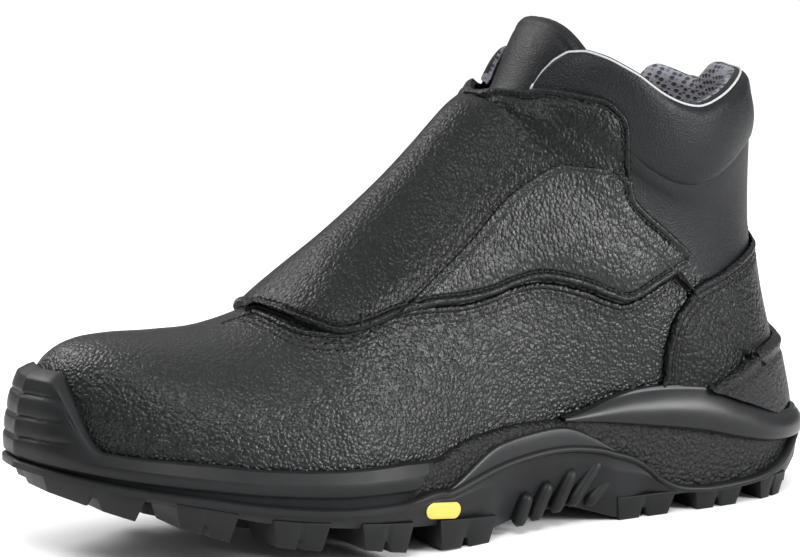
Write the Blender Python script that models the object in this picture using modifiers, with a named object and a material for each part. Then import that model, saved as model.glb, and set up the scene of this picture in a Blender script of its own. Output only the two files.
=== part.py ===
"""Ankle work boot, left foot: hollow upper, lugged outsole with a toe bumper, and an instep flap.

+X runs to the toe, +Y to the outer side of the foot and +Z up. The origin is on the floor, in the
middle of the heel's tread. Sizes are metres; the tables hold shares of the named sizes.
"""

import math

import bmesh
import bpy
import numpy as np

# Overall sizes
LENGTH = 0.309
HEEL_OVERHANG = 0.034
BALL_WIDTH = 0.112
HEEL_WIDTH = 0.082
TOE_TOP = 0.077
COLLAR_TOP = 0.171
SOLE_SIDE = 0.047
TOE_SPRING = 0.027

# Upper
WALL = 0.0022
GAP = 0.0003
FEATHER_INSET = 0.0053
COUNTER_THICK = 0.0016
GUARD_THICK = 0.0030
FLAP_THICK = 0.0024
FLAP_STANDOFF = 0.0013
RIDGE_STANDOFF = 0.0015
COLLAR_PAD = 0.0085
COLLAR_FRONT = 0.0028
TONGUE_THICK = 0.0050
TONGUE_DEPTH = 0.0038
TONGUE_HALF_ANGLE = 50.0
TAB_RISE = 0.45
FRONT_RISE = 0.55
MEDIAL_RISE = 0.40
MEDIAL_REACH = 12.0

# Sole
INSOLE_THICK = 0.0040
INSOLE_CLEARANCE = 0.0044
ROOM_DROP = 0.0012
BUMPER_HEIGHT = 0.067
BUMPER_HALF_ARC = 0.034
BUMPER_BLEND = 0.011
MIDSOLE_INSET = 0.0026
LUG_DRAFT = 0.0022
LUG_ROOT = 0.0012
NOTCH_DEPTH = 0.0035
RIB_WIDTH = 0.0036
RIB_INSET = 0.0016
REST_END = 0.53

# Mesh
OUTLINE_STEPS = 34
SIDE_STEPS = 12
FLAP_STEPS = 10
ROW_DENSITY = 0.75
TURN_DENSITY = 2.0

# Sole outline. Half-widths are shares of half the heel width plus shares of half the ball width.
OUTLINE_COLUMNS = ("along", "heel", "ball")
LATERAL_OUTLINE = (
    (0.000, 0.00, 0.000),
    (0.010, 0.44, 0.000),
    (0.039, 0.73, 0.000),
    (0.091, 0.93, 0.000),
    (0.162, 1.00, 0.000),
    (0.259, 1.00, 0.000),
    (0.356, 0.75, 0.190),
    (0.453, 0.50, 0.420),
    (0.550, 0.20, 0.746),
    (0.631, 0.00, 0.982),
    (0.696, 0.00, 1.000),
    (0.761, 0.00, 0.946),
    (0.835, 0.00, 0.821),
    (0.900, 0.00, 0.625),
    (0.951, 0.00, 0.357),
    (0.984, 0.00, 0.071),
    (1.000, 0.00, -0.214),
)
MEDIAL_OUTLINE = (
    (0.000, 0.00, 0.000),
    (0.010, -0.44, 0.000),
    (0.039, -0.73, 0.000),
    (0.091, -0.93, 0.000),
    (0.162, -1.00, 0.000),
    (0.275, -0.93, 0.000),
    (0.372, -0.60, -0.168),
    (0.469, -0.35, -0.315),
    (0.566, -0.15, -0.533),
    (0.663, 0.00, -0.821),
    (0.751, 0.00, -0.982),
    (0.825, 0.00, -1.000),
    (0.900, 0.00, -0.929),
    (0.958, 0.00, -0.750),
    (0.990, 0.00, -0.500),
    (1.000, 0.00, -0.214),
)

# Heights of the sole along its length: tread as a share of the toe spring, the rest of the side's height.
SIDE_COLUMNS = ("along", "tread", "root", "ledge", "groove", "rail", "top", "floor")
SIDE = (
    (0.000, 0.00, 0.14, 0.30, 0.43, 0.53, 0.64, 0.575),
    (0.070, 0.00, 0.14, 0.26, 0.43, 0.57, 0.68, 0.580),
    (0.145, 0.00, 0.14, 0.26, 0.43, 0.64, 0.86, 0.595),
    (0.200, 0.00, 0.14, 0.26, 0.43, 0.64, 0.98, 0.615),
    (0.290, 0.00, 0.14, 0.30, 0.43, 0.64, 1.00, 0.635),
    (0.385, 0.00, 0.16, 0.32, 0.43, 0.60, 0.86, 0.640),
    (0.450, 0.00, 0.15, 0.36, 0.45, 0.57, 0.86, 0.610),
    (0.520, 0.00, 0.18, 0.38, 0.49, 0.62, 0.81, 0.575),
    (0.565, 0.04, 0.21, 0.41, 0.51, 0.63, 0.72, 0.550),
    (0.620, 0.12, 0.25, 0.44, 0.53, 0.64, 0.73, 0.550),
    (0.700, 0.26, 0.31, 0.46, 0.55, 0.66, 0.74, 0.565),
    (0.780, 0.37, 0.38, 0.52, 0.60, 0.69, 0.78, 0.600),
    (0.860, 0.59, 0.50, 0.61, 0.67, 0.76, 0.85, 0.670),
    (0.930, 0.81, 0.59, 0.68, 0.73, 0.82, 0.89, 0.755),
    (1.000, 1.05, 0.69, 0.77, 0.80, 0.87, 0.95, 0.810),
)

# Sections of the upper, from the toe round the ankle to the top of the tongue. Each section is a
# closed oval that stands across the side view: it runs from a front point on the ridge to a back
# point, and the feather line cuts it where it is open below. Heights are shares of the toe and
# collar tops; a mirrored section has its back point as far under the feather line as its front is
# over it. Lateral and medial are the half-widths as shares of half the heel width, and sole is how
# much the sole's outline decides them instead.
SECTION_COLUMNS = (
    "front", "toe_up", "collar_up", "back", "back_up", "mirrored",
    "lateral", "medial", "sole", "round_front", "round_back", "sag", "throat",
)
SECTIONS = (
    (0.971, 0.640, 0.000, 0.995, 0.000, 1, 1.00, 1.00, 1.0, 2.3, 2.3, 0.000, 0),
    (0.968, 0.740, 0.000, 0.991, 0.000, 1, 1.00, 1.00, 1.0, 2.4, 2.4, 0.000, 0),
    (0.958, 0.853, 0.000, 0.979, 0.000, 1, 1.00, 1.00, 1.0, 2.4, 2.4, 0.000, 0),
    (0.940, 0.936, 0.000, 0.956, 0.000, 1, 1.00, 1.00, 1.0, 2.4, 2.4, 0.000, 0),
    (0.911, 0.985, 0.000, 0.921, 0.000, 1, 1.00, 1.00, 1.0, 2.4, 2.4, 0.000, 0),
    (0.872, 1.000, 0.000, 0.872, 0.000, 1, 1.00, 1.00, 1.0, 2.4, 2.4, 0.000, 0),
    (0.822, 1.000, 0.000, 0.822, 0.000, 1, 1.00, 1.00, 1.0, 2.3, 2.3, 0.000, 0),
    (0.765, 1.016, 0.000, 0.765, 0.000, 1, 1.00, 1.00, 1.0, 2.2, 2.3, 0.000, 0),
    (0.705, 1.105, 0.000, 0.700, 0.000, 1, 1.00, 1.00, 1.0, 2.1, 2.3, 0.000, 0),
    (0.647, 0.667, 0.275, 0.600, -0.235, 0, 1.12, 0.98, 0.8, 2.0, 2.4, 0.000, 8),
    (0.589, 0.462, 0.442, 0.460, -0.275, 0, 1.03, 0.86, 0.4, 2.0, 2.5, 0.000, 15),
    (0.540, 0.256, 0.599, 0.320, -0.269, 0, 0.97, 0.82, 0.1, 2.0, 2.6, 0.000, 21),
    (0.502, 0.103, 0.725, 0.181, -0.210, 0, 0.93, 0.82, 0.0, 2.0, 2.6, 0.000, 25),
    (0.474, 0.000, 0.816, 0.073, -0.070, 0, 0.90, 0.83, 0.0, 2.0, 2.6, 0.000, 28),
    (0.455, 0.000, 0.845, 0.024, 0.070, 0, 0.88, 0.84, 0.0, 2.0, 2.6, 0.000, 30),
    (0.440, 0.000, 0.866, 0.025, 0.160, 0, 0.87, 0.85, 0.0, 2.0, 2.6, 0.000, 31),
    (0.431, 0.000, 0.880, 0.042, 0.304, 0, 0.86, 0.84, 0.0, 2.0, 2.5, 0.015, 32),
    (0.426, 0.000, 0.892, 0.057, 0.421, 0, 0.85, 0.83, 0.0, 2.1, 2.4, 0.040, 32),
    (0.419, 0.000, 0.901, 0.068, 0.550, 0, 0.85, 0.83, 0.0, 2.1, 2.3, 0.075, 33),
    (0.414, 0.000, 0.908, 0.069, 0.661, 0, 0.86, 0.84, 0.0, 2.1, 2.2, 0.110, 33),
    (0.408, 0.000, 0.915, 0.070, 0.766, 0, 0.89, 0.86, 0.0, 2.1, 2.2, 0.140, 33),
    (0.395, 0.000, 0.953, 0.073, 0.838, 0, 0.92, 0.90, 0.0, 2.1, 2.2, 0.120, 34),
    (0.380, 0.000, 1.000, 0.079, 0.897, 0, 0.95, 0.93, 0.0, 2.1, 2.2, 0.097, 34),
    (0.358, 0.000, 1.062, 0.088, 0.970, 0, 0.98, 0.95, 0.0, 2.1, 2.2, 0.105, 34),
)
THROAT_ROW = 8
TURN_ROW = 12
CORNER_ROW = 15
SEAM_ROW = 20
COLLAR_ROW = 22
TONGUE_ROW = 23
TONGUE_START = 8.7

# Lines of the side view: shares of the length along, and of the collar's top up.
LIP_LINE = (
    (0.606, 0.132), (0.571, 0.134), (0.553, 0.132), (0.485, 0.163), (0.427, 0.177),
    (0.385, 0.178), (0.343, 0.167), (0.320, 0.154), (0.294, 0.138), (0.272, 0.113),
    (0.256, 0.088), (0.230, 0.064), (0.201, 0.055), (0.175, 0.053), (0.110, 0.060),
    (0.065, 0.085), (0.029, 0.130), (-0.02, 0.145),
)
CUT_TOP = (0.566, 0.240)
CRADLE_LINE = (
    (0.395, 0.233), (0.343, 0.219), (0.272, 0.196), (0.204, 0.174),
    (0.129, 0.140), (0.075, 0.124), (-0.02, 0.116),
)
GUARD_LINE = (
    (0.205, 0.272), (0.172, 0.292), (0.125, 0.325), (0.078, 0.345), (-0.04, 0.352),
)
COUNTER_LINE = (
    (-0.04, 0.566), (0.045, 0.562), (0.100, 0.538), (0.162, 0.503), (0.199, 0.483),
    (0.212, 0.456), (0.230, 0.430), (0.241, 0.391), (0.248, 0.342), (0.249, 0.280), (0.250, 0.12),
)
FLAP_LOWER = (
    (0.760, 0.500), (0.746, 0.515), (0.735, 0.516), (0.725, 0.505), (0.699, 0.480), (0.676, 0.467),
    (0.635, 0.476), (0.600, 0.490), (0.556, 0.498), (0.511, 0.498), (0.472, 0.507),
    (0.446, 0.520), (0.408, 0.528), (0.360, 0.506), (0.325, 0.478), (0.298, 0.468),
    (0.259, 0.497), (0.213, 0.532), (0.212, 0.545), (0.255, 0.606), (0.297, 0.668),
    (0.309, 0.713), (0.310, 0.762), (0.312, 0.828), (0.318, 0.858), (0.344, 0.891),
    (0.371, 0.906), (0.392, 0.911), (0.424, 0.918), (0.450, 0.916),
)
FLAP_MEDIAL = (
    (0.760, 0.500), (0.746, 0.515), (0.735, 0.514), (0.700, 0.462), (0.640, 0.434),
    (0.560, 0.434), (0.490, 0.456), (0.420, 0.515), (0.375, 0.614), (0.355, 0.731),
    (0.356, 0.866), (0.382, 0.905), (0.424, 0.918), (0.450, 0.916),
)
FLAP_OUTSIDE = ((0.560, 0.960), (0.760, 0.760))
FLAP_SEAM = (
    (0.602, 0.470), (0.600, 0.490), (0.564, 0.532), (0.498, 0.613), (0.447, 0.692),
    (0.409, 0.733), (0.380, 0.755), (0.351, 0.751), (0.314, 0.741), (0.280, 0.735),
)

# Lugs round the sole's edge: start and end along, reach inwards as a share of half the ball width.
LATERAL_LUGS = (
    (0.058, 0.108, 0.34), (0.134, 0.205, 0.34), (0.232, 0.314, 0.34),
    (0.487, 0.572, 0.40), (0.610, 0.680, 0.40), (0.718, 0.782, 0.40),
    (0.818, 0.880, 0.40), (0.908, 0.962, 0.34),
)
MEDIAL_LUGS = (
    (0.058, 0.108, 0.34), (0.134, 0.205, 0.34), (0.232, 0.314, 0.34),
    (0.487, 0.572, 0.34), (0.610, 0.680, 0.38), (0.718, 0.782, 0.40),
    (0.818, 0.880, 0.40), (0.908, 0.965, 0.34),
)
# Lugs in the middle: centre along, centre across, half length and half width, and skew.
CENTRE_LUGS = (
    (0.110, 0.00, 0.039, 0.230, 0.00), (0.225, 0.00, 0.036, 0.230, 0.00),
    (0.510, 0.10, 0.034, 0.300, 0.00), (0.615, 0.06, 0.026, 0.330, 0.30),
    (0.700, 0.00, 0.026, 0.340, 0.30), (0.788, -0.05, 0.027, 0.290, 0.28),
    (0.870, -0.12, 0.026, 0.290, 0.30),
    (0.034, 0.00, 0.020, 0.260, 0.00),
)
# Slanted ribs of the arch, on the side: low point along and up, high point along and up.
ARCH_RIBS = (
    (0.450, 0.020, 0.436, 0.090), (0.428, 0.026, 0.405, 0.106), (0.398, 0.036, 0.371, 0.127),
    (0.376, 0.044, 0.333, 0.139), (0.352, 0.040, 0.303, 0.120),
)

MATERIALS = {
    "outsole": ((0.030, 0.031, 0.032), 0.62),
    "midsole": ((0.024, 0.025, 0.026), 0.80),
    "heel_cradle": ((0.032, 0.033, 0.034), 0.42),
    "heel_guard": ((0.024, 0.025, 0.026), 0.75),
    "leather": ((0.028, 0.032, 0.031), 0.45),
    "counter": ((0.022, 0.024, 0.024), 0.50),
    "smooth": ((0.036, 0.037, 0.039), 0.48),
    "insole": ((0.200, 0.205, 0.215), 0.90),
}


def clear_scene():
    for obj in list(bpy.data.objects):
        bpy.data.objects.remove(obj, do_unlink=True)


def new_collection(name):
    made = bpy.data.collections.new(name)
    bpy.context.scene.collection.children.link(made)
    return made


def columns(names, rows):
    """A table as one array for each named column."""
    return {name: np.array([row[i] for row in rows], float) for i, name in enumerate(names)}


def blend_points(values, at):
    """A smooth curve through evenly numbered values, read at a fractional number."""
    last = len(values) - 1
    at = min(max(at, 0.0), float(last))
    i = min(int(at), last - 1)
    t = at - i
    a, b = values[i], values[i + 1]
    before = values[i - 1] if i > 0 else 2 * a - b
    after = values[i + 2] if i + 2 <= last else 2 * b - a
    slope_a, slope_b = (b - before) / 2, (after - a) / 2
    return (
        (2 * t**3 - 3 * t**2 + 1) * a
        + (t**3 - 2 * t**2 + t) * slope_a
        + (3 * t**2 - 2 * t**3) * b
        + (t**3 - t**2) * slope_b
    )


def smooth_line(rows, steps):
    """Points along a smooth curve through the rows of a table of lines."""
    points = np.array(rows, float)
    count = (len(points) - 1) * steps + 1
    return np.array([blend_points(points, k / steps) for k in range(count)])


def ease(value):
    value = min(max(value, 0.0), 1.0)
    return value * value * (3 - 2 * value)


def along_of(x):
    return (x + HEEL_OVERHANG) / LENGTH


def x_of(along):
    return along * LENGTH - HEEL_OVERHANG


SIDE_TABLE = columns(SIDE_COLUMNS, SIDE)
SECTION_TABLE = columns(SECTION_COLUMNS, SECTIONS)


def side_height(column, x):
    """Height of one line of the sole's side at x."""
    along = min(max(along_of(x), 0.0), 1.0)
    stations = SIDE_TABLE["along"]
    i = int(np.searchsorted(stations, along, side="right")) - 1
    i = min(max(i, 0), len(stations) - 2)
    at = i + (along - stations[i]) / (stations[i + 1] - stations[i])
    share = blend_points(SIDE_TABLE[column], at)
    return max(share, 0.0) * (TOE_SPRING if column == "tread" else SOLE_SIDE)


def half_outline(rows):
    table = columns(OUTLINE_COLUMNS, rows)
    points = np.column_stack(
        [x_of(table["along"]), (table["heel"] * HEEL_WIDTH + table["ball"] * BALL_WIDTH) / 2]
    )
    fine = smooth_line(points, 12)
    walked = np.concatenate([[0], np.cumsum(np.linalg.norm(np.diff(fine, axis=0), axis=1))])
    even = np.linspace(0, 1, OUTLINE_STEPS + 1)
    denser_at_ends = even - 0.09 * np.sin(2 * math.pi * even)
    wanted = denser_at_ends * walked[-1]
    return np.column_stack([np.interp(wanted, walked, fine[:, i]) for i in (0, 1)])


def sole_outline():
    """The closed outline from the back, along the outer side to the toe, and back along the inner side."""
    lateral, medial = half_outline(LATERAL_OUTLINE), half_outline(MEDIAL_OUTLINE)
    points = np.concatenate([lateral, medial[-2:0:-1]])
    tangent = np.roll(points, -1, axis=0) - np.roll(points, 1, axis=0)
    normal = np.column_stack([-tangent[:, 1], tangent[:, 0]])
    return points, normal / np.linalg.norm(normal, axis=1)[:, None]


OUTLINE, OUTLINE_NORMAL = sole_outline()
COUNT = len(OUTLINE)


def inset_outline(inset):
    """The outline moved inwards; inset is one distance or one for each point."""
    return OUTLINE - OUTLINE_NORMAL * np.broadcast_to(inset, COUNT)[:, None]


def outline_y(x, inset, side):
    """Where the inset outline crosses x on the lateral (1) or medial (-1) side."""
    ring = inset_outline(inset)
    half = ring[: OUTLINE_STEPS + 1] if side > 0 else np.concatenate([ring[:1], ring[:OUTLINE_STEPS - 1:-1]])
    return float(np.interp(x, half[:, 0], half[:, 1]))


def arc_from_toe():
    """Distance along the outline from the toe's tip, for each of its points."""
    step = np.linalg.norm(np.roll(OUTLINE, -1, axis=0) - OUTLINE, axis=1)
    walked = np.concatenate([[0], np.cumsum(step)])[:-1]
    return np.abs(walked - walked[OUTLINE_STEPS])


class Section:
    """One oval of the upper at a fractional row of the table."""

    def __init__(self, row):
        value = {name: float(blend_points(SECTION_TABLE[name], row)) for name in SECTION_COLUMNS}
        self.front = np.array(
            [x_of(value["front"]), value["toe_up"] * TOE_TOP + value["collar_up"] * COLLAR_TOP]
        )
        middle_x = (self.front[0] + x_of(value["back"])) / 2
        mirrored_z = 2 * side_height("floor", middle_x) - self.front[1]
        own_z = value["back_up"] * COLLAR_TOP
        share = min(max(value["mirrored"], 0.0), 1.0)
        self.back = np.array([x_of(value["back"]), share * mirrored_z + (1 - share) * own_z])
        self.middle = (self.front + self.back) / 2
        self.reach = (self.back - self.front) / 2
        sole = min(max(value["sole"], 0.0), 1.0)
        lateral = value["lateral"] * HEEL_WIDTH / 2
        medial = -value["medial"] * HEEL_WIDTH / 2
        if sole > 0:
            lateral += sole * (outline_y(self.middle[0], FEATHER_INSET, 1) - lateral)
            medial += sole * (outline_y(self.middle[0], FEATHER_INSET, -1) - medial)
        self.centre = (lateral + medial) / 2
        self.half = max((lateral - medial) / 2, 0.0)
        self.power = (2 / max(value["round_front"], 2.0), 2 / max(value["round_back"], 2.0))
        self.sag = max(value["sag"], 0.0) * COLLAR_TOP
        self.throat = math.radians(max(value["throat"], 0.0)) if row > THROAT_ROW else 0.0
        self.end = self.feather_angle()
        self.shift = (0.0, 0.0)
        if self.end < math.pi:
            x = self.side_view(self.end)[0]
            faded = ease((CORNER_ROW - row) / 1.3)
            self.shift = tuple(
                faded * (outline_y(x, FEATHER_INSET, side) - self.oval_y(side * self.end))
                for side in (1, -1)
            )

    def side_view(self, angle):
        """x and z of the oval at an angle from the ridge."""
        power = self.power[0 if math.cos(angle) > 0 else 1]
        share = -math.copysign(abs(math.cos(angle)) ** power, math.cos(angle))
        x, z = self.middle + share * self.reach
        return np.array([x, z - self.sag * (1 - share**2) ** 2 * (1 + 0.35 * share)])

    def oval_y(self, angle):
        power = self.power[0 if math.cos(angle) > 0 else 1]
        return self.centre + math.copysign(self.half * abs(math.sin(angle)) ** power, angle)

    def feather_angle(self):
        """Where the oval meets the feather line, or pi where it closes above it."""
        low, high = math.radians(60), math.pi

        def over(angle):
            x, z = self.side_view(angle)
            return z - side_height("floor", x)

        if over(high) >= 0:
            return math.pi
        for _ in range(30):
            middle = (low + high) / 2
            low, high = (middle, high) if over(middle) > 0 else (low, middle)
        return (low + high) / 2

    def point(self, angle):
        x, z = self.side_view(abs(angle))
        shift = self.shift[0 if angle >= 0 else 1]
        near_sole = ease((abs(angle) / self.end - 0.35) / 0.65)
        return np.array([x, self.oval_y(angle) + shift * near_sole, z])


SECTION_CACHE = {}


def section(row):
    key = round(row, 5)
    if key not in SECTION_CACHE:
        SECTION_CACHE[key] = Section(key)
    return SECTION_CACHE[key]


def on_last(row, angle, out=0.0):
    """A point of the upper's outer form, moved out along its normal."""
    here = section(row).point(angle)
    if out == 0.0:
        return here
    step = 0.02
    turn = 0.01
    at_toe_tip = row < step
    if at_toe_tip:
        angle = abs(angle)
    row = max(row, 3 * step)
    low_row, high_row = row - step, min(row + step, float(TONGUE_ROW))
    up = section(high_row).point(angle) - section(low_row).point(angle)
    end = section(row).end
    low_angle = max(angle - turn, -end) if end < math.pi else angle - turn
    high_angle = min(angle + turn, end) if end < math.pi else angle + turn
    across = wrapped_point(row, high_angle) - wrapped_point(row, low_angle)
    normal = np.cross(across, up)
    if at_toe_tip:
        normal[1] = 0.0
    return here + normal / np.linalg.norm(normal) * out


def wrapped_point(row, angle):
    """A point of a section whose angle may have passed the back."""
    if angle > math.pi:
        angle -= 2 * math.pi
    elif angle < -math.pi:
        angle += 2 * math.pi
    return section(row).point(angle)


def all_grid_rows():
    """Rows of every mesh that follows the upper, closer where the ovals turn round the heel."""
    stops = (0, THROAT_ROW, TURN_ROW, CORNER_ROW, SEAM_ROW, COLLAR_ROW)
    rows = [0.0]
    for start, end in zip(stops[:-1], stops[1:]):
        density = TURN_DENSITY if start == TURN_ROW else ROW_DENSITY
        count = round((end - start) * density)
        rows += [start + (end - start) * (k + 1) / count for k in range(count)]
    return rows


GRID_ROWS = all_grid_rows()


def grid_rows(first, last):
    return [row for row in GRID_ROWS if first <= row <= last]


def grid_angles(row, closed_ridge):
    """Angles of one side's points from the ridge, or the throat's edge, to the feather line."""
    here = section(row)
    angles = list(np.linspace(here.throat, here.end, SIDE_STEPS + 1))
    if closed_ridge and here.throat > 0:
        angles = [0.0] + angles
    elif closed_ridge:
        angles = [0.0, angles[1] / 2] + angles[1:]
    return angles


def mesh_object(name, points, faces, collection, material=None):
    mesh = bpy.data.meshes.new(name)
    mesh.from_pydata([tuple(map(float, p)) for p in points], [], faces)
    build = bmesh.new()
    build.from_mesh(mesh)
    bmesh.ops.remove_doubles(build, verts=build.verts, dist=1e-5)
    bmesh.ops.dissolve_degenerate(build, edges=build.edges, dist=1e-6)
    build.to_mesh(mesh)
    build.free()
    obj = bpy.data.objects.new(name, mesh)
    collection.objects.link(obj)
    if material:
        finish(obj, material)
    return obj


def closed_object(name, points, faces, collection, material=None):
    """An object whose faces are turned to point outwards."""
    obj = mesh_object(name, points, faces, collection, material)
    build = bmesh.new()
    build.from_mesh(obj.data)
    bmesh.ops.recalc_face_normals(build, faces=build.faces)
    if build.calc_volume(signed=True) < 0:
        bmesh.ops.reverse_faces(build, faces=build.faces)
    build.to_mesh(obj.data)
    build.free()
    return obj


def finish(obj, key):
    colour, roughness = MATERIALS[key]
    material = bpy.data.materials.get(key)
    if material is None:
        material = bpy.data.materials.new(key)
        material.use_nodes = True
        shader = material.node_tree.nodes["Principled BSDF"]
        shader.inputs["Base Color"].default_value = (*colour, 1)
        shader.inputs["Roughness"].default_value = roughness
        shader.inputs["Metallic"].default_value = 0.0
    obj.data.materials.clear()
    obj.data.materials.append(material)
    obj.data.shade_smooth()
    obj.data.set_sharp_from_angle(angle=math.radians(40))


def as_helper(obj):
    obj.hide_render = True
    obj.display_type = "WIRE"
    return obj


def boolean(obj, other, operation):
    modifier = obj.modifiers.new(f"{operation}_{other.name}", "BOOLEAN")
    modifier.operation = operation
    modifier.solver = "EXACT"
    modifier.object = other


def solidify(obj, thickness):
    modifier = obj.modifiers.new("wall", "SOLIDIFY")
    modifier.thickness = thickness
    modifier.offset = -1.0
    modifier.use_rim = True


def loft_faces(loop_count, points_per_loop, closed=True):
    """Quads between neighbouring loops of points."""
    faces = []
    around = points_per_loop if closed else points_per_loop - 1
    for i in range(loop_count - 1):
        for j in range(around):
            k = (j + 1) % points_per_loop
            a, b = i * points_per_loop, (i + 1) * points_per_loop
            faces.append((a + j, a + k, b + k, b + j))
    return faces


def halves(quads):
    """Two triangles for each quad, cut the same way in every mesh that follows the upper."""
    return [half for a, b, c, d in quads for half in ((a, b, c), (a, c, d))]


def outline_cap(base):
    """Faces across one ring of the outline, from its outer side to its inner side."""
    n = OUTLINE_STEPS
    faces = [(base, base + 1, base + COUNT - 1)]
    faces += [(base + i, base + i + 1, base + COUNT - i - 1, base + COUNT - i) for i in range(1, n - 1)]
    faces.append((base + n - 1, base + n, base + n + 1))
    return faces


def outline_loft(name, rings, collection, material=None):
    """A solid from rings of the outline, each an inset and a height for every point."""
    points = []
    for inset, height in rings:
        ring = inset_outline(inset)
        points += [(x, y, z) for (x, y), z in zip(ring, np.broadcast_to(height, COUNT))]
    faces = loft_faces(len(rings), COUNT) + outline_cap(0) + outline_cap((len(rings) - 1) * COUNT)
    return closed_object(name, points, faces, collection, material)


def line_points(rows, steps=3):
    curve = smooth_line(rows, steps)
    return [(x_of(a), u * COLLAR_TOP) for a, u in curve]


def prism(name, side_points, y_from, y_to):
    """A solid whose side view is a closed line, between two planes across the boot."""
    count = len(side_points)
    points = [(x, y_from, z) for x, z in side_points] + [(x, y_to, z) for x, z in side_points]
    faces = [tuple(range(count)), tuple(range(2 * count - 1, count - 1, -1))]
    faces += [(i, (i + 1) % count, count + (i + 1) % count, count + i) for i in range(count)]
    return as_helper(closed_object(name, points, faces, CUTTERS))


def grown(side_points, by):
    """A side view's closed line moved outwards by a small distance, with mitred corners."""
    points = np.array(side_points)
    edge = np.roll(points, -1, axis=0) - points
    normal = np.column_stack([edge[:, 1], -edge[:, 0]])
    normal /= np.maximum(np.linalg.norm(normal, axis=1), 1e-9)[:, None]
    before = np.roll(normal, 1, axis=0)
    square = np.maximum(1 + np.sum(normal * before, axis=1), 0.12)
    x, z = points[:, 0], points[:, 1]
    area = np.sum(x * np.roll(z, -1) - np.roll(x, -1) * z)
    return points + (normal + before) / square[:, None] * by * (1 if area > 0 else -1)


def surface_patch(name, rows, angle_lists, out, collection, material=None):
    """An open patch of the upper's form, facing outwards."""
    points, faces = [], []
    width = len(angle_lists[0])
    for row, angles in zip(rows, angle_lists):
        points += [on_last(row, angle, out(row, angle)) for angle in angles]
    for i in range(len(rows) - 1):
        for j in range(width - 1):
            a, b = i * width + j, (i + 1) * width + j
            faces.append((a, a + 1, b + 1, b))
    return mesh_object(name, points, faces, collection, material)


def both_sides(angles):
    """Angles of the medial side, the ridge and the lateral side in one list."""
    return [-a for a in reversed(angles)] + [a for a in angles if a > 0]


def upper_body(out, name, last_row):
    """The upper's form as a filled solid, for cutting its room out of the sole."""
    rows = grid_rows(0, last_row)
    points = []
    width = 0
    for row in rows:
        angles = both_sides(grid_angles(row, True))
        ring = [on_last(row, angle, out) for angle in angles]
        drop = ROOM_DROP if row < CORNER_ROW else 0.0
        ring = [ring[0] - [0, 0, drop]] + ring + [ring[-1] - [0, 0, drop]]
        width = len(ring)
        points += ring
    quads = loft_faces(len(rows), width)
    faces = halves(q if q[0] < width or q[0] % width < width // 2 else q[1:] + q[:1] for q in quads)
    faces.append(tuple(range(len(points) - width, len(points))))
    return as_helper(closed_object(name, points, faces, CUTTERS))


def double_skin(name, rows, inner_out, outer_out, material):
    """A wall between two distances from the upper's form, open at its ends and along the ridge."""
    index, inner, outer, quads = {}, [], [], []
    for i, row in enumerate(rows):
        flat = section(row).half < 1e-6
        for side in (-1, 1):
            for j, angle in enumerate(grid_angles(row, False)):
                shared = (i, j, 0)
                if (flat or angle in (0.0, math.pi)) and shared in index:
                    index[i, j, side] = index[shared]
                    continue
                index[i, j, side] = index[shared] = len(inner)
                inner.append(on_last(row, side * angle, inner_out))
                outer.append(on_last(row, side * angle, outer_out))
    for side in (-1, 1):
        for i, row in enumerate(rows[:-1]):
            for j in range(SIDE_STEPS):
                low, high = index[i, j, side], index[i + 1, j, side]
                next_low, next_high = index[i, j + 1, side], index[i + 1, j + 1, side]
                if side < 0:
                    quads.append((high, next_high, next_low, low))
                elif row == 0:
                    quads.append((low, next_low, next_high, high))
                else:
                    quads.append((next_low, next_high, high, low))
    faces = halves(quads)
    edges = {(a, b) for face in faces for a, b in zip(face, face[1:] + face[:1])}
    count = len(inner)
    skin = faces + [tuple(count + v for v in reversed(face)) for face in faces]
    skin += [(b, a, count + a, count + b) for a, b in edges if (b, a) not in edges]
    return closed_object(name, outer + inner, skin, BOOT, material)


def make_upper():
    """The hollow upper: one wall, open at the collar and throat and underneath."""
    return double_skin("upper", grid_rows(0, SEAM_ROW), -WALL, 0.0, "leather")


def counter_outline():
    line = line_points(COUNTER_LINE)
    return line + [(x_of(-0.04), line[-1][1])]


def wrap_band(name, out_from, thickness, first_row, last_row, outline, material):
    """A band round the upper at an even distance from it, cut to a side view's outline."""
    band = double_skin(name, grid_rows(first_row, last_row), out_from, out_from + thickness, material)
    boolean(band, prism(f"{name}_outline", outline, -BALL_WIDTH, BALL_WIDTH), "INTERSECT")
    return band


def flap_out(row, angle):
    """How far the flap's outer face stands off the upper: most over the tongue."""
    over_ridge = math.cos(min(abs(angle) * 1.3, math.pi / 2))
    started = ease((row - 6.8) / 2.5)
    return FLAP_THICK + FLAP_STANDOFF * (0.4 + 0.6 * started) + RIDGE_STANDOFF * over_ridge * started


def flap_patch(name, material, side_from, side_to):
    rows = [r for r in grid_rows(0, COLLAR_ROW) if 6 <= r]
    lists = []
    for row in rows:
        end = min(section(row).end, math.radians(150))
        inner, outer = side_from * end, side_to * end
        lists.append(list(np.linspace(inner, outer, round((side_to - side_from) * FLAP_STEPS) + 1)))
    patch = surface_patch(name, rows, lists, flap_out, BOOT, material)
    solidify(patch, FLAP_THICK)
    return patch


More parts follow.
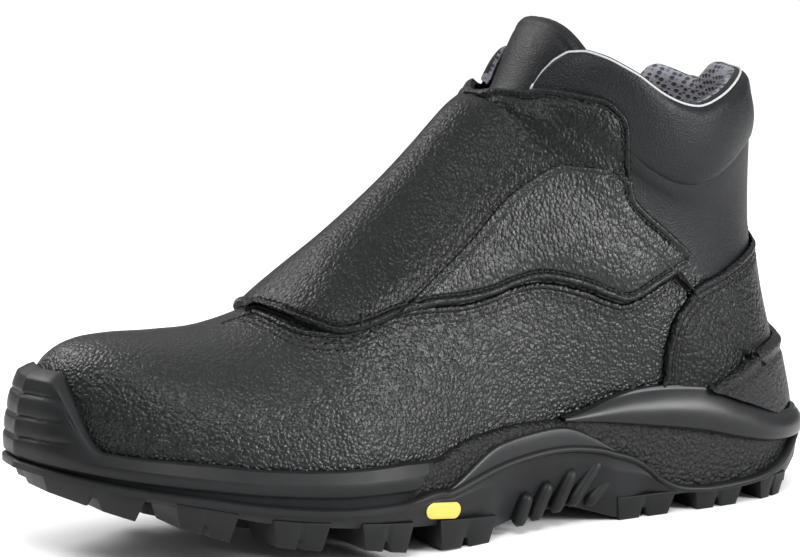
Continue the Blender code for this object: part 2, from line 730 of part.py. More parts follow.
def make_flap():
    """The instep flap: a front panel over the tongue and a side panel that closes it."""
    outside = [(x_of(a), u * COLLAR_TOP) for a, u in FLAP_OUTSIDE]
    lateral = line_points(FLAP_LOWER, 2) + outside
    medial = line_points(FLAP_MEDIAL, 2) + outside
    seam = line_points(FLAP_SEAM, 2)
    low, high = 0.30 * COLLAR_TOP, 1.1 * COLLAR_TOP
    far_back = x_of(0.1)
    behind = seam + [(far_back, seam[-1][1]), (far_back, low), (seam[0][0], low)]
    front = flap_patch("flap_front", "leather", -0.95, 0.95)
    middle = 0.0004
    outline = prism("flap_lateral_outline", lateral, -middle, BALL_WIDTH)
    boolean(outline, prism("flap_medial_outline", medial, -BALL_WIDTH, 0.0), "UNION")
    boolean(front, outline, "INTERSECT")
    boolean(front, prism("flap_seam_room", grown(behind, GAP / 2), 0.001, BALL_WIDTH), "DIFFERENCE")
    side = flap_patch("flap_side", "leather", 0.12, 0.95)
    side_outline = prism("flap_side_outline", lateral, 0.001, BALL_WIDTH)
    boolean(side, side_outline, "INTERSECT")
    boolean(side, prism("flap_seam_side", grown(behind, -GAP / 2), 0.001, BALL_WIDTH), "INTERSECT")
    return front, side


def collar_rise(turn):
    """How far the collar's rim stands over its row of the table, at an angle in degrees, in rows."""
    if turn > 0:
        return TAB_RISE * ease((turn - 142) / 24) + FRONT_RISE * ease((75 - turn) / 35)
    tab = TAB_RISE * ease((-turn - 158) / 16)
    shoulder = MEDIAL_RISE * ease(1 - abs(-turn - 138) / 26)
    return tab + shoulder + FRONT_RISE * ease((75 + turn) / 35)


def make_collar():
    """The padded collar round the ankle's top, thin where it ends at the throat."""
    heights = (0.035, 0.30, 0.60, 0.86, 0.97)
    steps = 2 * (SIDE_STEPS + 2)
    points = []
    for k in range(steps + 1):
        share = k / steps
        loop = []
        for order, out_side in ((heights, True), (heights[::-1], False)):
            for up in order:
                start = section(SEAM_ROW + 2 * up).throat + math.radians(1.0)
                end = 2 * math.pi - start + math.radians(MEDIAL_REACH)
                angle = start + share * (end - start)
                turned = angle if angle <= math.pi else angle - 2 * math.pi
                back = ease((math.degrees(abs(turned)) - 70) / 35)
                rise = collar_rise(math.degrees(turned))
                row = SEAM_ROW + (COLLAR_ROW + rise - SEAM_ROW) * up
                pad = COLLAR_FRONT + (COLLAR_PAD - COLLAR_FRONT) * back
                rounding = math.sqrt(max(1 - max(up - 0.5, 0.0) ** 2 / 0.25, 0.0))
                bulge = 0.0012 * math.sin(math.pi * min(up, 1.0)) * back
                outer = bulge - pad / 2 * (1 - rounding)
                inner = outer - pad * (0.35 + 0.65 * rounding) - bulge
                loop.append(on_last(row, turned, outer if out_side else inner))
        points += loop
    width = 2 * len(heights)
    faces = loft_faces(steps + 1, width)
    faces += [tuple(range(width)), tuple(range(steps * width, (steps + 1) * width))]
    return closed_object("collar", points, faces, BOOT, "smooth")


def make_tongue():
    """The padded tongue, from under the vamp to its round top over the collar."""
    count = 12
    rows = 12
    top_rise = TONGUE_ROW - COLLAR_ROW
    reach = math.radians(TONGUE_HALF_ANGLE)
    points = []
    lists = []
    for i in range(rows + 1):
        ring = []
        for j in range(count + 1):
            across = 2 * j / count - 1
            crown = COLLAR_ROW + top_rise * (1 - 0.95 * abs(across) ** 3)
            row = TONGUE_START + (crown - TONGUE_START) * i / rows
            narrow = 0.62 + 0.38 * ease((row - TONGUE_START) / 5)
            ring.append((row, across * reach * narrow))
        lists.append(ring)
    for ring in lists:
        points += [on_last(row, angle, -TONGUE_DEPTH) for row, angle in ring]
    faces = [(q[3], q[2], q[1], q[0]) for q in loft_faces(rows + 1, count + 1, closed=False)]
    tongue = mesh_object("tongue", points, [f[::-1] for f in faces], BOOT, "smooth")
    solidify(tongue, TONGUE_THICK)
    return tongue


def side_line(column):
    return np.array([side_height(column, x) for x in OUTLINE[:, 0]])


def make_outsole(upper_room, counter_room):
    """The rubber outsole: tread, stepped side, rail and the bumper over the toe."""
    root, ledge = side_line("root"), side_line("ledge")
    groove, rail, top = side_line("groove"), side_line("rail"), side_line("top")
    bump = np.array([ease((BUMPER_HALF_ARC + BUMPER_BLEND - a) / (2 * BUMPER_BLEND)) for a in arc_from_toe()])
    along = np.array([along_of(x) for x in OUTLINE[:, 0]])
    arch = np.array([ease((a - 0.31) / 0.05) * ease((0.50 - a) / 0.05) for a in along])
    wall = BUMPER_HEIGHT - top
    rings = [
        (0.0040 + 0.0040 * arch, root),
        (0.0015 + 0.0040 * arch, root + 0.35 * (ledge - root)),
        (0.0000 + 0.0012 * arch, ledge),
        (0.0022, ledge + 0.0009),
        (0.0022, groove),
        (0.0005, groove + 0.0009),
        (0.0005, rail + 0.18 * wall * bump),
        (0.0016 + 0.0012 * bump, rail + 0.5 * (top - rail) + 0.60 * wall * bump),
        (0.0030 + 0.0040 * bump, top - 0.0004 + 0.93 * wall * bump),
        (0.0046 + 0.0060 * bump, top + wall * bump),
    ]
    outsole = outline_loft("outsole", rings, BOOT, "outsole")
    lip = [(x_of(CUT_TOP[0]), CUT_TOP[1] * COLLAR_TOP)] + line_points(LIP_LINE, 2)
    far, high = lip[-1][0], 0.6 * COLLAR_TOP
    over_lip = lip + [(far, high), (lip[0][0], high)]
    boolean(outsole, prism("over_lip", over_lip, -BALL_WIDTH, BALL_WIDTH), "DIFFERENCE")
    for room in (upper_room, counter_room):
        boolean(outsole, room, "DIFFERENCE")
    for lug in make_lugs():
        boolean(outsole, lug, "UNION")
    return outsole, over_lip


def edge_lug(name, start, end, reach, side):
    """A lug on the sole's edge, with a shallow notch across its tread."""
    profile = ((0.0, 0), (0.40, 0), (0.47, 1), (0.53, 1), (0.60, 0), (1.0, 0))
    points = []
    for share, notched in profile:
        along = start + (end - start) * share
        x = x_of(along)
        lean = LUG_DRAFT * (1 - 2 * share)
        low_x = x + lean
        outer_high = outline_y(x, 0.0012, side)
        outer_low = outline_y(low_x, 0.0012 + LUG_DRAFT, side)
        inner_high = outer_high - side * reach * BALL_WIDTH / 2
        inner_low = inner_high + side * LUG_DRAFT
        low = side_height("tread", x) + NOTCH_DEPTH * notched
        high = side_height("root", x) + LUG_ROOT
        points += [(low_x, outer_low, low), (low_x, inner_low, low)]
        points += [(x, inner_high, high), (x, outer_high, high)]
    count = len(profile)
    faces = loft_faces(count, 4) + [(0, 1, 2, 3), tuple(range(4 * count - 4, 4 * count))]
    return as_helper(closed_object(name, points, faces, CUTTERS))


def centre_lug(name, along, across, half_length, half_width, skew):
    """A block of the tread's middle, swept back to both sides."""
    half_ball = BALL_WIDTH / 2
    points = []
    for share in (-1.0, 0.0, 1.0):
        y = (across + share * half_width) * half_ball
        shift = -abs(share) * skew * half_width * half_ball
        for end in (-1, 1):
            x = x_of(along + end * half_length) + shift
            draft = end * LUG_DRAFT * 0.6
            tread = side_height("tread", x) if along > REST_END else 0.0
            points += [(x - draft, y, tread), (x, y, side_height("root", x) + LUG_ROOT)]
    loops = [[points[4 * i], points[4 * i + 2], points[4 * i + 3], points[4 * i + 1]] for i in range(3)]
    flat = [p for loop in loops for p in loop]
    faces = loft_faces(3, 4) + [(0, 1, 2, 3), (8, 9, 10, 11)]
    return as_helper(closed_object(name, flat, faces, CUTTERS))


def arch_rib(name, low, high, side):
    """A slanted rib on the arch's side."""
    low = np.array([x_of(low[0]), low[1] * COLLAR_TOP])
    high = np.array([x_of(high[0]), high[1] * COLLAR_TOP])
    run = (high - low) / np.linalg.norm(high - low)
    wide = np.array([run[1], -run[0]]) * RIB_WIDTH / 2
    corners = [low - wide, low + wide, high + wide * 0.8, high - wide * 0.8]
    y_in = outline_y(low[0], 0.014, side)
    y_out = outline_y(low[0], RIB_INSET, side)
    points = [(x, y_in, z) for x, z in corners] + [(x, y_out, z) for x, z in corners]
    faces = [(0, 1, 2, 3), (7, 6, 5, 4)] + [(i, (i + 1) % 4, 4 + (i + 1) % 4, 4 + i) for i in range(4)]
    return as_helper(closed_object(name, points, faces, CUTTERS))


def make_lugs():
    made = []
    for side, table, word in ((1, LATERAL_LUGS, "lateral"), (-1, MEDIAL_LUGS, "medial")):
        for i, (start, end, reach) in enumerate(table):
            made.append(edge_lug(f"lug_{word}_{i}", start, end, reach, side))
        for i, (low_a, low_u, high_a, high_u) in enumerate(ARCH_RIBS):
            made.append(arch_rib(f"rib_{word}_{i}", (low_a, low_u), (high_a, high_u), side))
    for i, row in enumerate(CENTRE_LUGS):
        made.append(centre_lug(f"lug_centre_{i}", *row))
    return made


def make_midsole(over_lip, upper_room, counter_room):
    """The midsole behind the ball: the arch wedge and the heel, in the outsole's lip."""
    top = side_line("top")
    rings = [
        (MIDSOLE_INSET + 0.0010, np.full(COUNT, 0.004)),
        (MIDSOLE_INSET, np.full(COUNT, 0.012)),
        (MIDSOLE_INSET, top - 0.0035),
        (MIDSOLE_INSET + 0.0008, top - 0.0008),
    ]
    midsole = outline_loft("midsole", rings, BOOT, "midsole")
    inside = prism("in_lip", grown(over_lip, -GAP), -BALL_WIDTH, BALL_WIDTH)
    boolean(midsole, inside, "INTERSECT")
    for room in (upper_room, counter_room):
        boolean(midsole, room, "DIFFERENCE")
    return rings, inside


def make_cradle(midsole_rings, inside, upper_room, counter_room):
    """The smooth stabiliser that cradles the heel outside the midsole."""
    top = side_line("top")
    rings = [
        (0.0010, np.full(COUNT, 0.012)),
        (0.0000, top - 0.0140),
        (-0.0014, top - 0.0080),
        (-0.0006, top - 0.0030),
        (0.0014, top),
    ]
    cradle = outline_loft("heel_cradle", rings, BOOT, "heel_cradle")
    line = line_points(CRADLE_LINE)
    shape = line + [(line[-1][0], 0.4 * COLLAR_TOP), (line[0][0], 0.4 * COLLAR_TOP)]
    boolean(cradle, prism("cradle_outline", shape, -BALL_WIDTH, BALL_WIDTH), "INTERSECT")
    boolean(cradle, inside, "INTERSECT")
    room = []
    for i, (inset, height) in enumerate(midsole_rings):
        room.append((inset - GAP, height + (GAP if i > 1 else -GAP)))
    boolean(cradle, as_helper(outline_loft("midsole_room", room, CUTTERS)), "DIFFERENCE")
    for cutter in (upper_room, counter_room):
        boolean(cradle, cutter, "DIFFERENCE")
    return cradle


def make_guard():
    """The raised protector at the back of the heel, standing on the cradle."""
    upper_edge = line_points(GUARD_LINE)
    lower = []
    for along in np.linspace(-0.04, 0.195, 12):
        x = x_of(along)
        lower.append((x, side_height("top", x) + 2 * GAP))
    outline = upper_edge + lower
    out_from = COUNTER_THICK + 2.5 * GAP
    return wrap_band("heel_guard", out_from, GUARD_THICK, 11, 17.5, outline, "heel_guard")


def make_insole():
    inset = FEATHER_INSET + WALL + INSOLE_CLEARANCE
    floor = side_line("floor")
    rings = [(inset, floor), (inset, floor + INSOLE_THICK * 0.7), (inset + 0.0022, floor + INSOLE_THICK)]
    return outline_loft("insole", rings, BOOT, "insole")


clear_scene()
BOOT = new_collection("work_boot")
CUTTERS = new_collection("cutters")
CUTTERS.hide_render = True

UPPER_ROOM = upper_body(GAP * 1.2, "upper_room", 18)
COUNTER_ROOM = upper_body(COUNTER_THICK + 2.4 * GAP, "counter_room", 18)
boolean(
    COUNTER_ROOM,
    prism("counter_room_outline", grown(counter_outline(), GAP), -BALL_WIDTH, BALL_WIDTH),
    "INTERSECT",
)

make_upper()
wrap_band("heel_counter", 1.2 * GAP, COUNTER_THICK, 9, SEAM_ROW - 1, counter_outline(), "counter")
OUTSOLE, OVER_LIP = make_outsole(UPPER_ROOM, COUNTER_ROOM)
MIDSOLE_RINGS, IN_LIP = make_midsole(OVER_LIP, UPPER_ROOM, COUNTER_ROOM)
make_cradle(MIDSOLE_RINGS, IN_LIP, UPPER_ROOM, COUNTER_ROOM)
make_guard()
make_insole()
make_collar()
make_tongue()
make_flap()
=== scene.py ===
"""Looks of the ankle work boot: leather, padding, stitches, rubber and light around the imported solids."""

import math

import bmesh
import bpy
import numpy as np
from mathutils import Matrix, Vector
from mathutils.kdtree import KDTree


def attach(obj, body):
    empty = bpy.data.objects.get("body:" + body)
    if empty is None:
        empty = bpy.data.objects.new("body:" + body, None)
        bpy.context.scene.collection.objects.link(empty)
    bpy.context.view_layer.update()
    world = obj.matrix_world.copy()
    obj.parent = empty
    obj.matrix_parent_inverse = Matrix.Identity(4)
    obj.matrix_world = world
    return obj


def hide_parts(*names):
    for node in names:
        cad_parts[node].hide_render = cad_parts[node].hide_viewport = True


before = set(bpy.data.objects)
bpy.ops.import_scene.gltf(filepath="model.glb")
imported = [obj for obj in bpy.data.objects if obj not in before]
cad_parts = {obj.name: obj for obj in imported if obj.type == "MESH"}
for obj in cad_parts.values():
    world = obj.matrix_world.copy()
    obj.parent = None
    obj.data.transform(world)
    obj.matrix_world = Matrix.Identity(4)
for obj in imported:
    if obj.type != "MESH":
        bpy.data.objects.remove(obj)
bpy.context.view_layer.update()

# Sizes in metres, as in the solids
LENGTH = 0.309
HEEL_OVERHANG = 0.034
BALL_WIDTH = 0.112
HEEL_WIDTH = 0.082
TOE_TOP = 0.077
COLLAR_TOP = 0.171
SOLE_SIDE = 0.047
TOE_SPRING = 0.027
FEATHER_INSET = 0.0053
COUNTER_THICK = 0.0016
FLAP_THICK = 0.0024
FLAP_STANDOFF = 0.0013
RIDGE_STANDOFF = 0.0015
COLLAR_PAD = 0.0085
COLLAR_FRONT = 0.0028
TONGUE_THICK = 0.0050
TONGUE_DEPTH = 0.0038
TONGUE_REACH = math.radians(50)
TONGUE_START = 8.7
BUMPER_HEIGHT = 0.067
BUMPER_HALF_ARC = 0.034
LUG_DRAFT = 0.0022
LUG_ROUND = 0.0007
WALL = 0.0022
FOOTBED_GAP = 0.0012
REST_END = 0.53
LINING_DEPTH = 0.0023
ANKLE_FRONT = 0.066
SIDE_LIFT = 0.0006
SEWN_IN = 0.0029
COUNTER_SEWN = (0.0032, 0.0056)
GUARD_THICK = 0.004
COUNTER_BACK = 0.0968
GUARD_BACK = 0.0592
GUARD_FOOT = 0.0300
ANKLE_ROW = 15.9
THROAT_ROW = 8
CORNER_ROW = 15
SEAM_ROW = 20
COLLAR_ROW = 22
TONGUE_ROW = 23

# The sole's outline on each side: shares of the length, of the heel's half-width and of the ball's
LATERAL_OUTLINE = (
    (0.000, 0.00, 0.000), (0.010, 0.44, 0.000), (0.039, 0.73, 0.000), (0.091, 0.93, 0.000),
    (0.162, 1.00, 0.000), (0.259, 1.00, 0.000), (0.356, 0.75, 0.190), (0.453, 0.50, 0.420),
    (0.550, 0.20, 0.746), (0.631, 0.00, 0.982), (0.696, 0.00, 1.000), (0.761, 0.00, 0.946),
    (0.835, 0.00, 0.821), (0.900, 0.00, 0.625), (0.951, 0.00, 0.357), (0.984, 0.00, 0.071),
    (1.000, 0.00, -0.214),
)
MEDIAL_OUTLINE = (
    (0.000, 0.00, 0.000), (0.010, -0.44, 0.000), (0.039, -0.73, 0.000), (0.091, -0.93, 0.000),
    (0.162, -1.00, 0.000), (0.275, -0.93, 0.000), (0.372, -0.60, -0.168), (0.469, -0.35, -0.315),
    (0.566, -0.15, -0.533), (0.663, 0.00, -0.821), (0.751, 0.00, -0.982), (0.825, 0.00, -1.000),
    (0.900, 0.00, -0.929), (0.958, 0.00, -0.750), (0.990, 0.00, -0.500), (1.000, 0.00, -0.214),
)
# Heights of the sole's side at stations along it, as shares
SIDE_COLUMNS = ("along", "tread", "root", "ledge", "groove", "rail", "top", "floor")
SIDE = np.array((
    (0.000, 0.00, 0.14, 0.30, 0.43, 0.53, 0.64, 0.575),
    (0.070, 0.00, 0.14, 0.26, 0.43, 0.57, 0.68, 0.580),
    (0.145, 0.00, 0.14, 0.26, 0.43, 0.64, 0.86, 0.595),
    (0.200, 0.00, 0.14, 0.26, 0.43, 0.64, 0.98, 0.615),
    (0.290, 0.00, 0.14, 0.30, 0.43, 0.64, 1.00, 0.635),
    (0.385, 0.00, 0.16, 0.32, 0.43, 0.60, 0.86, 0.640),
    (0.450, 0.00, 0.15, 0.36, 0.45, 0.57, 0.86, 0.610),
    (0.520, 0.00, 0.18, 0.38, 0.49, 0.62, 0.81, 0.575),
    (0.565, 0.04, 0.21, 0.41, 0.51, 0.63, 0.72, 0.550),
    (0.620, 0.12, 0.25, 0.44, 0.53, 0.64, 0.73, 0.550),
    (0.700, 0.26, 0.31, 0.46, 0.55, 0.66, 0.74, 0.565),
    (0.780, 0.37, 0.38, 0.52, 0.60, 0.69, 0.78, 0.600),
    (0.860, 0.59, 0.50, 0.61, 0.67, 0.76, 0.85, 0.670),
    (0.930, 0.81, 0.59, 0.68, 0.73, 0.82, 0.89, 0.755),
    (1.000, 1.05, 0.69, 0.77, 0.80, 0.87, 0.95, 0.810),
))
# Ovals of the upper from the toe to the tongue's top
SECTION_COLUMNS = (
    "front", "toe_up", "collar_up", "back", "back_up", "mirrored",
    "lateral", "medial", "sole", "round_front", "round_back", "sag", "throat",
)
# Over the toe: front, toe_up, back, round_front and round_back
TOE_SECTIONS = (
    (0.971, 0.640, 0.995, 2.3, 2.3), (0.968, 0.740, 0.991, 2.4, 2.4), (0.958, 0.853, 0.979, 2.4, 2.4),
    (0.940, 0.936, 0.956, 2.4, 2.4), (0.911, 0.985, 0.921, 2.4, 2.4), (0.872, 1.000, 0.872, 2.4, 2.4),
    (0.822, 1.000, 0.822, 2.3, 2.3), (0.765, 1.016, 0.765, 2.2, 2.3), (0.705, 1.105, 0.700, 2.1, 2.3),
)
SECTIONS = np.array([
    (front, up, 0, back, 0, 1, 1, 1, 1, round_front, round_back, 0, 0)
    for front, up, back, round_front, round_back in TOE_SECTIONS
] + [
    (0.647, 0.667, 0.275, 0.600, -0.235, 0, 1.12, 0.98, 0.8, 2.0, 2.4, 0.000, 8),
    (0.589, 0.462, 0.442, 0.460, -0.275, 0, 1.03, 0.86, 0.4, 2.0, 2.5, 0.000, 15),
    (0.540, 0.256, 0.599, 0.320, -0.269, 0, 0.97, 0.82, 0.1, 2.0, 2.6, 0.000, 21),
    (0.502, 0.103, 0.725, 0.181, -0.210, 0, 0.93, 0.82, 0.0, 2.0, 2.6, 0.000, 25),
    (0.474, 0.000, 0.816, 0.073, -0.070, 0, 0.90, 0.83, 0.0, 2.0, 2.6, 0.000, 28),
    (0.455, 0.000, 0.845, 0.024, 0.070, 0, 0.88, 0.84, 0.0, 2.0, 2.6, 0.000, 30),
    (0.440, 0.000, 0.866, 0.025, 0.160, 0, 0.87, 0.85, 0.0, 2.0, 2.6, 0.000, 31),
    (0.431, 0.000, 0.880, 0.042, 0.304, 0, 0.86, 0.84, 0.0, 2.0, 2.5, 0.015, 32),
    (0.426, 0.000, 0.892, 0.057, 0.421, 0, 0.85, 0.83, 0.0, 2.1, 2.4, 0.040, 32),
    (0.419, 0.000, 0.901, 0.068, 0.550, 0, 0.85, 0.83, 0.0, 2.1, 2.3, 0.075, 33),
    (0.414, 0.000, 0.908, 0.069, 0.661, 0, 0.86, 0.84, 0.0, 2.1, 2.2, 0.110, 33),
    (0.408, 0.000, 0.915, 0.070, 0.766, 0, 0.89, 0.86, 0.0, 2.1, 2.2, 0.140, 33),
    (0.395, 0.000, 0.953, 0.073, 0.838, 0, 0.92, 0.90, 0.0, 2.1, 2.2, 0.120, 34),
    (0.380, 0.000, 1.000, 0.079, 0.897, 0, 0.95, 0.93, 0.0, 2.1, 2.2, 0.097, 34),
    (0.358, 0.000, 1.062, 0.088, 0.970, 0, 0.98, 0.95, 0.0, 2.1, 2.2, 0.105, 34),
])
# Lines in the side view, as shares of the length and of the collar's height
LIP_LINE = (
    (0.606, 0.132), (0.571, 0.134), (0.553, 0.132), (0.485, 0.163), (0.427, 0.177),
    (0.385, 0.178), (0.343, 0.167), (0.320, 0.154), (0.294, 0.138), (0.272, 0.113),
    (0.256, 0.088), (0.230, 0.064), (0.201, 0.055), (0.175, 0.053), (0.110, 0.060),
    (0.065, 0.085), (0.029, 0.130), (-0.02, 0.145),
)
CRADLE_LINE = (
    (0.395, 0.233), (0.343, 0.219), (0.272, 0.196), (0.204, 0.174),
    (0.129, 0.140), (0.075, 0.124), (-0.02, 0.116),
)
GUARD_LINE = ((0.190, 0.266), (0.172, 0.280), (0.145, 0.300), (0.115, 0.322), (0.078, 0.338), (0.02, 0.346))
COUNTER_LINE = (
    (0.012, 0.566), (0.045, 0.562), (0.100, 0.538), (0.162, 0.503), (0.199, 0.483),
    (0.212, 0.456), (0.230, 0.430), (0.241, 0.391), (0.248, 0.342), (0.249, 0.290),
)
FLAP_EDGE = (
    (0.725, 0.505), (0.699, 0.480), (0.676, 0.467), (0.635, 0.476), (0.600, 0.490), (0.556, 0.498),
    (0.511, 0.498), (0.472, 0.507), (0.446, 0.520), (0.408, 0.528), (0.360, 0.506), (0.325, 0.478),
    (0.298, 0.468), (0.259, 0.497), (0.226, 0.520), (0.214, 0.534),
)
# The flap's back edge as rows and turns of the form, and its top edge as turns and rows
FLAP_BACK = (
    (16.30, 0.5250), (16.40, 0.5063), (16.50, 0.4813), (16.55, 0.4500), (16.85, 0.4290), (17.70, 0.4215),
    (18.70, 0.4165), (19.50, 0.4110), (20.20, 0.3990), (20.60, 0.3915), (20.95, 0.3810), (21.10, 0.3680),
    (21.17, 0.3500), (21.20, 0.3313), (21.15, 0.3125),
)
FLAP_TOP = (
    (0.0, 16.90), (0.0375, 17.20), (0.075, 18.00), (0.1125, 19.00), (0.1400, 19.75),
    (0.1687, 20.25), (0.2125, 20.55), (0.2563, 20.80), (0.2812, 20.95), (0.3125, 21.15),
)
FLAP_MEDIAL = (
    (0.722, 0.500), (0.700, 0.462), (0.640, 0.434), (0.560, 0.434), (0.490, 0.456), (0.420, 0.515),
    (0.375, 0.614), (0.355, 0.731), (0.353, 0.850), (0.362, 0.884),
)
FLAP_SEAM = (
    (0.604, 0.488), (0.564, 0.532), (0.498, 0.613), (0.447, 0.692),
    (0.409, 0.733), (0.380, 0.755), (0.351, 0.751), (0.309, 0.741),
)
VAMP_SEAM = (
    (0.757, 0.512), (0.748, 0.499), (0.728, 0.486), (0.712, 0.463), (0.693, 0.456), (0.660, 0.456),
    (0.638, 0.468), (0.612, 0.480), (0.580, 0.486), (0.550, 0.485), (0.511, 0.483), (0.472, 0.493),
    (0.447, 0.505), (0.408, 0.512), (0.359, 0.491), (0.324, 0.465), (0.298, 0.454), (0.259, 0.481),
    (0.230, 0.505),
)
# Lugs at the edge: start, end and reach inwards; in the middle: place, half-sizes and skew
LATERAL_LUGS = (
    (0.058, 0.108, 0.34), (0.134, 0.205, 0.34), (0.232, 0.314, 0.34), (0.487, 0.572, 0.40),
    (0.610, 0.680, 0.40), (0.718, 0.782, 0.40), (0.818, 0.880, 0.40), (0.906, 0.984, 0.34),
)
MEDIAL_LUGS = (
    (0.058, 0.108, 0.34), (0.134, 0.205, 0.34), (0.232, 0.314, 0.34), (0.487, 0.572, 0.34),
    (0.610, 0.680, 0.38), (0.718, 0.782, 0.40), (0.818, 0.880, 0.40), (0.908, 0.965, 0.34),
)
CENTRE_LUGS = (
    (0.110, 0.00, 0.039, 0.230, 0.00), (0.225, 0.00, 0.036, 0.230, 0.00),
    (0.510, 0.10, 0.034, 0.300, 0.00), (0.615, 0.06, 0.026, 0.330, 0.30),
    (0.700, 0.00, 0.026, 0.340, 0.30), (0.788, -0.05, 0.027, 0.290, 0.28),
    (0.870, -0.12, 0.026, 0.290, 0.30), (0.034, 0.00, 0.020, 0.260, 0.00),
)
ARCH_RIBS = (
    (0.450, 0.020, 0.436, 0.090), (0.428, 0.026, 0.405, 0.106), (0.398, 0.036, 0.371, 0.127),
    (0.376, 0.044, 0.333, 0.139), (0.352, 0.040, 0.303, 0.120),
)
# Dart beside the side panel's seam, as x and height in metres
DART_XZ = (((0.1645, 0.0885), (0.1675, 0.0805)), ((0.1615, 0.0885), (0.1640, 0.0805)))
# Underside of the arch on the sole's side, as x and height in metres
UNDERSIDE = (
    (0.050, 0.0070), (0.058, 0.0012), (0.062, 0.0010), (0.071, 0.0041), (0.082, 0.0078),
    (0.097, 0.0070), (0.112, 0.0047), (0.120, 0.0040), (0.126, 0.0100),
)
PARTS = {}


def ease(value):
    value = np.clip(value, 0.0, 1.0)
    return value * value * (3 - 2 * value)


def x_of(along):
    return along * LENGTH - HEEL_OVERHANG


def along_of(x):
    return (x + HEEL_OVERHANG) / LENGTH


FLAP_TIP = (x_of(0.738), 0.0885)


def curve_at(values, at):
    """A smooth curve through evenly numbered rows, read at fractional numbers."""
    values = np.asarray(values, float)
    last = len(values) - 1
    at = np.clip(np.atleast_1d(at), 0.0, float(last))
    i = np.minimum(at.astype(int), last - 1)
    t = (at - i).reshape(-1, *([1] * (values.ndim - 1)))
    a, b = values[i], values[i + 1]
    before = np.where((i > 0).reshape(t.shape), values[np.maximum(i - 1, 0)], 2 * a - b)
    after = np.where((i + 2 <= last).reshape(t.shape), values[np.minimum(i + 2, last)], 2 * b - a)
    slope_a, slope_b = (b - before) / 2, (after - a) / 2
    return (
        (2 * t**3 - 3 * t**2 + 1) * a + (t**3 - 2 * t**2 + t) * slope_a
        + (3 * t**2 - 2 * t**3) * b + (t**3 - t**2) * slope_b
    )


def smooth_line(rows, steps=8):
    return curve_at(rows, np.linspace(0, len(rows) - 1, (len(rows) - 1) * steps + 1))


def line_xz(rows):
    """A table of shares as x and z in metres."""
    line = smooth_line(rows)
    return np.column_stack([x_of(line[:, 0]), line[:, 1] * COLLAR_TOP])


ALONG = np.linspace(0, 1, 801)


def height_table():
    stations = SIDE[:, 0]
    i = np.clip(np.searchsorted(stations, ALONG, side="right") - 1, 0, len(stations) - 2)
    at = i + (ALONG - stations[i]) / (stations[i + 1] - stations[i])
    return {
        name: np.maximum(curve_at(SIDE[:, k], at), 0) * (TOE_SPRING if name == "tread" else SOLE_SIDE)
        for k, name in enumerate(SIDE_COLUMNS)
    }


HEIGHTS = height_table()


def side_height(name, x):
    return np.interp(along_of(np.asarray(x, float)), ALONG, HEIGHTS[name])


# The sole's outline
OUTLINE_STEPS = 230


def half_outline(rows):
    rows = np.array(rows)
    points = np.column_stack([x_of(rows[:, 0]), (rows[:, 1] * HEEL_WIDTH + rows[:, 2] * BALL_WIDTH) / 2])
    fine = smooth_line(points, 40)
    walked = np.concatenate([[0], np.cumsum(np.linalg.norm(np.diff(fine, axis=0), axis=1))])
    wanted = np.linspace(0, walked[-1], OUTLINE_STEPS + 1)
    return np.column_stack([np.interp(wanted, walked, fine[:, i]) for i in (0, 1)])


def sole_outline():
    points = np.concatenate([half_outline(LATERAL_OUTLINE), half_outline(MEDIAL_OUTLINE)[-2:0:-1]])
    tangent = np.roll(points, -2, axis=0) - np.roll(points, 2, axis=0)
    normal = np.column_stack([-tangent[:, 1], tangent[:, 0]])
    return points, normal / np.linalg.norm(normal, axis=1)[:, None]


OUTLINE, OUTLINE_NORMAL = sole_outline()
OUTLINE_X = OUTLINE[:, 0]
COUNT = len(OUTLINE)


def arc_from_toe():
    step = np.linalg.norm(np.roll(OUTLINE, -1, axis=0) - OUTLINE, axis=1)
    walked = np.concatenate([[0], np.cumsum(step)])[:-1]
    return np.abs(walked - walked[OUTLINE_STEPS])


ARC = arc_from_toe()


def outline_y(x, inset, side):
    ring = OUTLINE - OUTLINE_NORMAL * inset
    half = ring[: OUTLINE_STEPS + 1] if side > 0 else np.concatenate([ring[:1], ring[:OUTLINE_STEPS - 1:-1]])
    return np.interp(x, half[:, 0], half[:, 1])


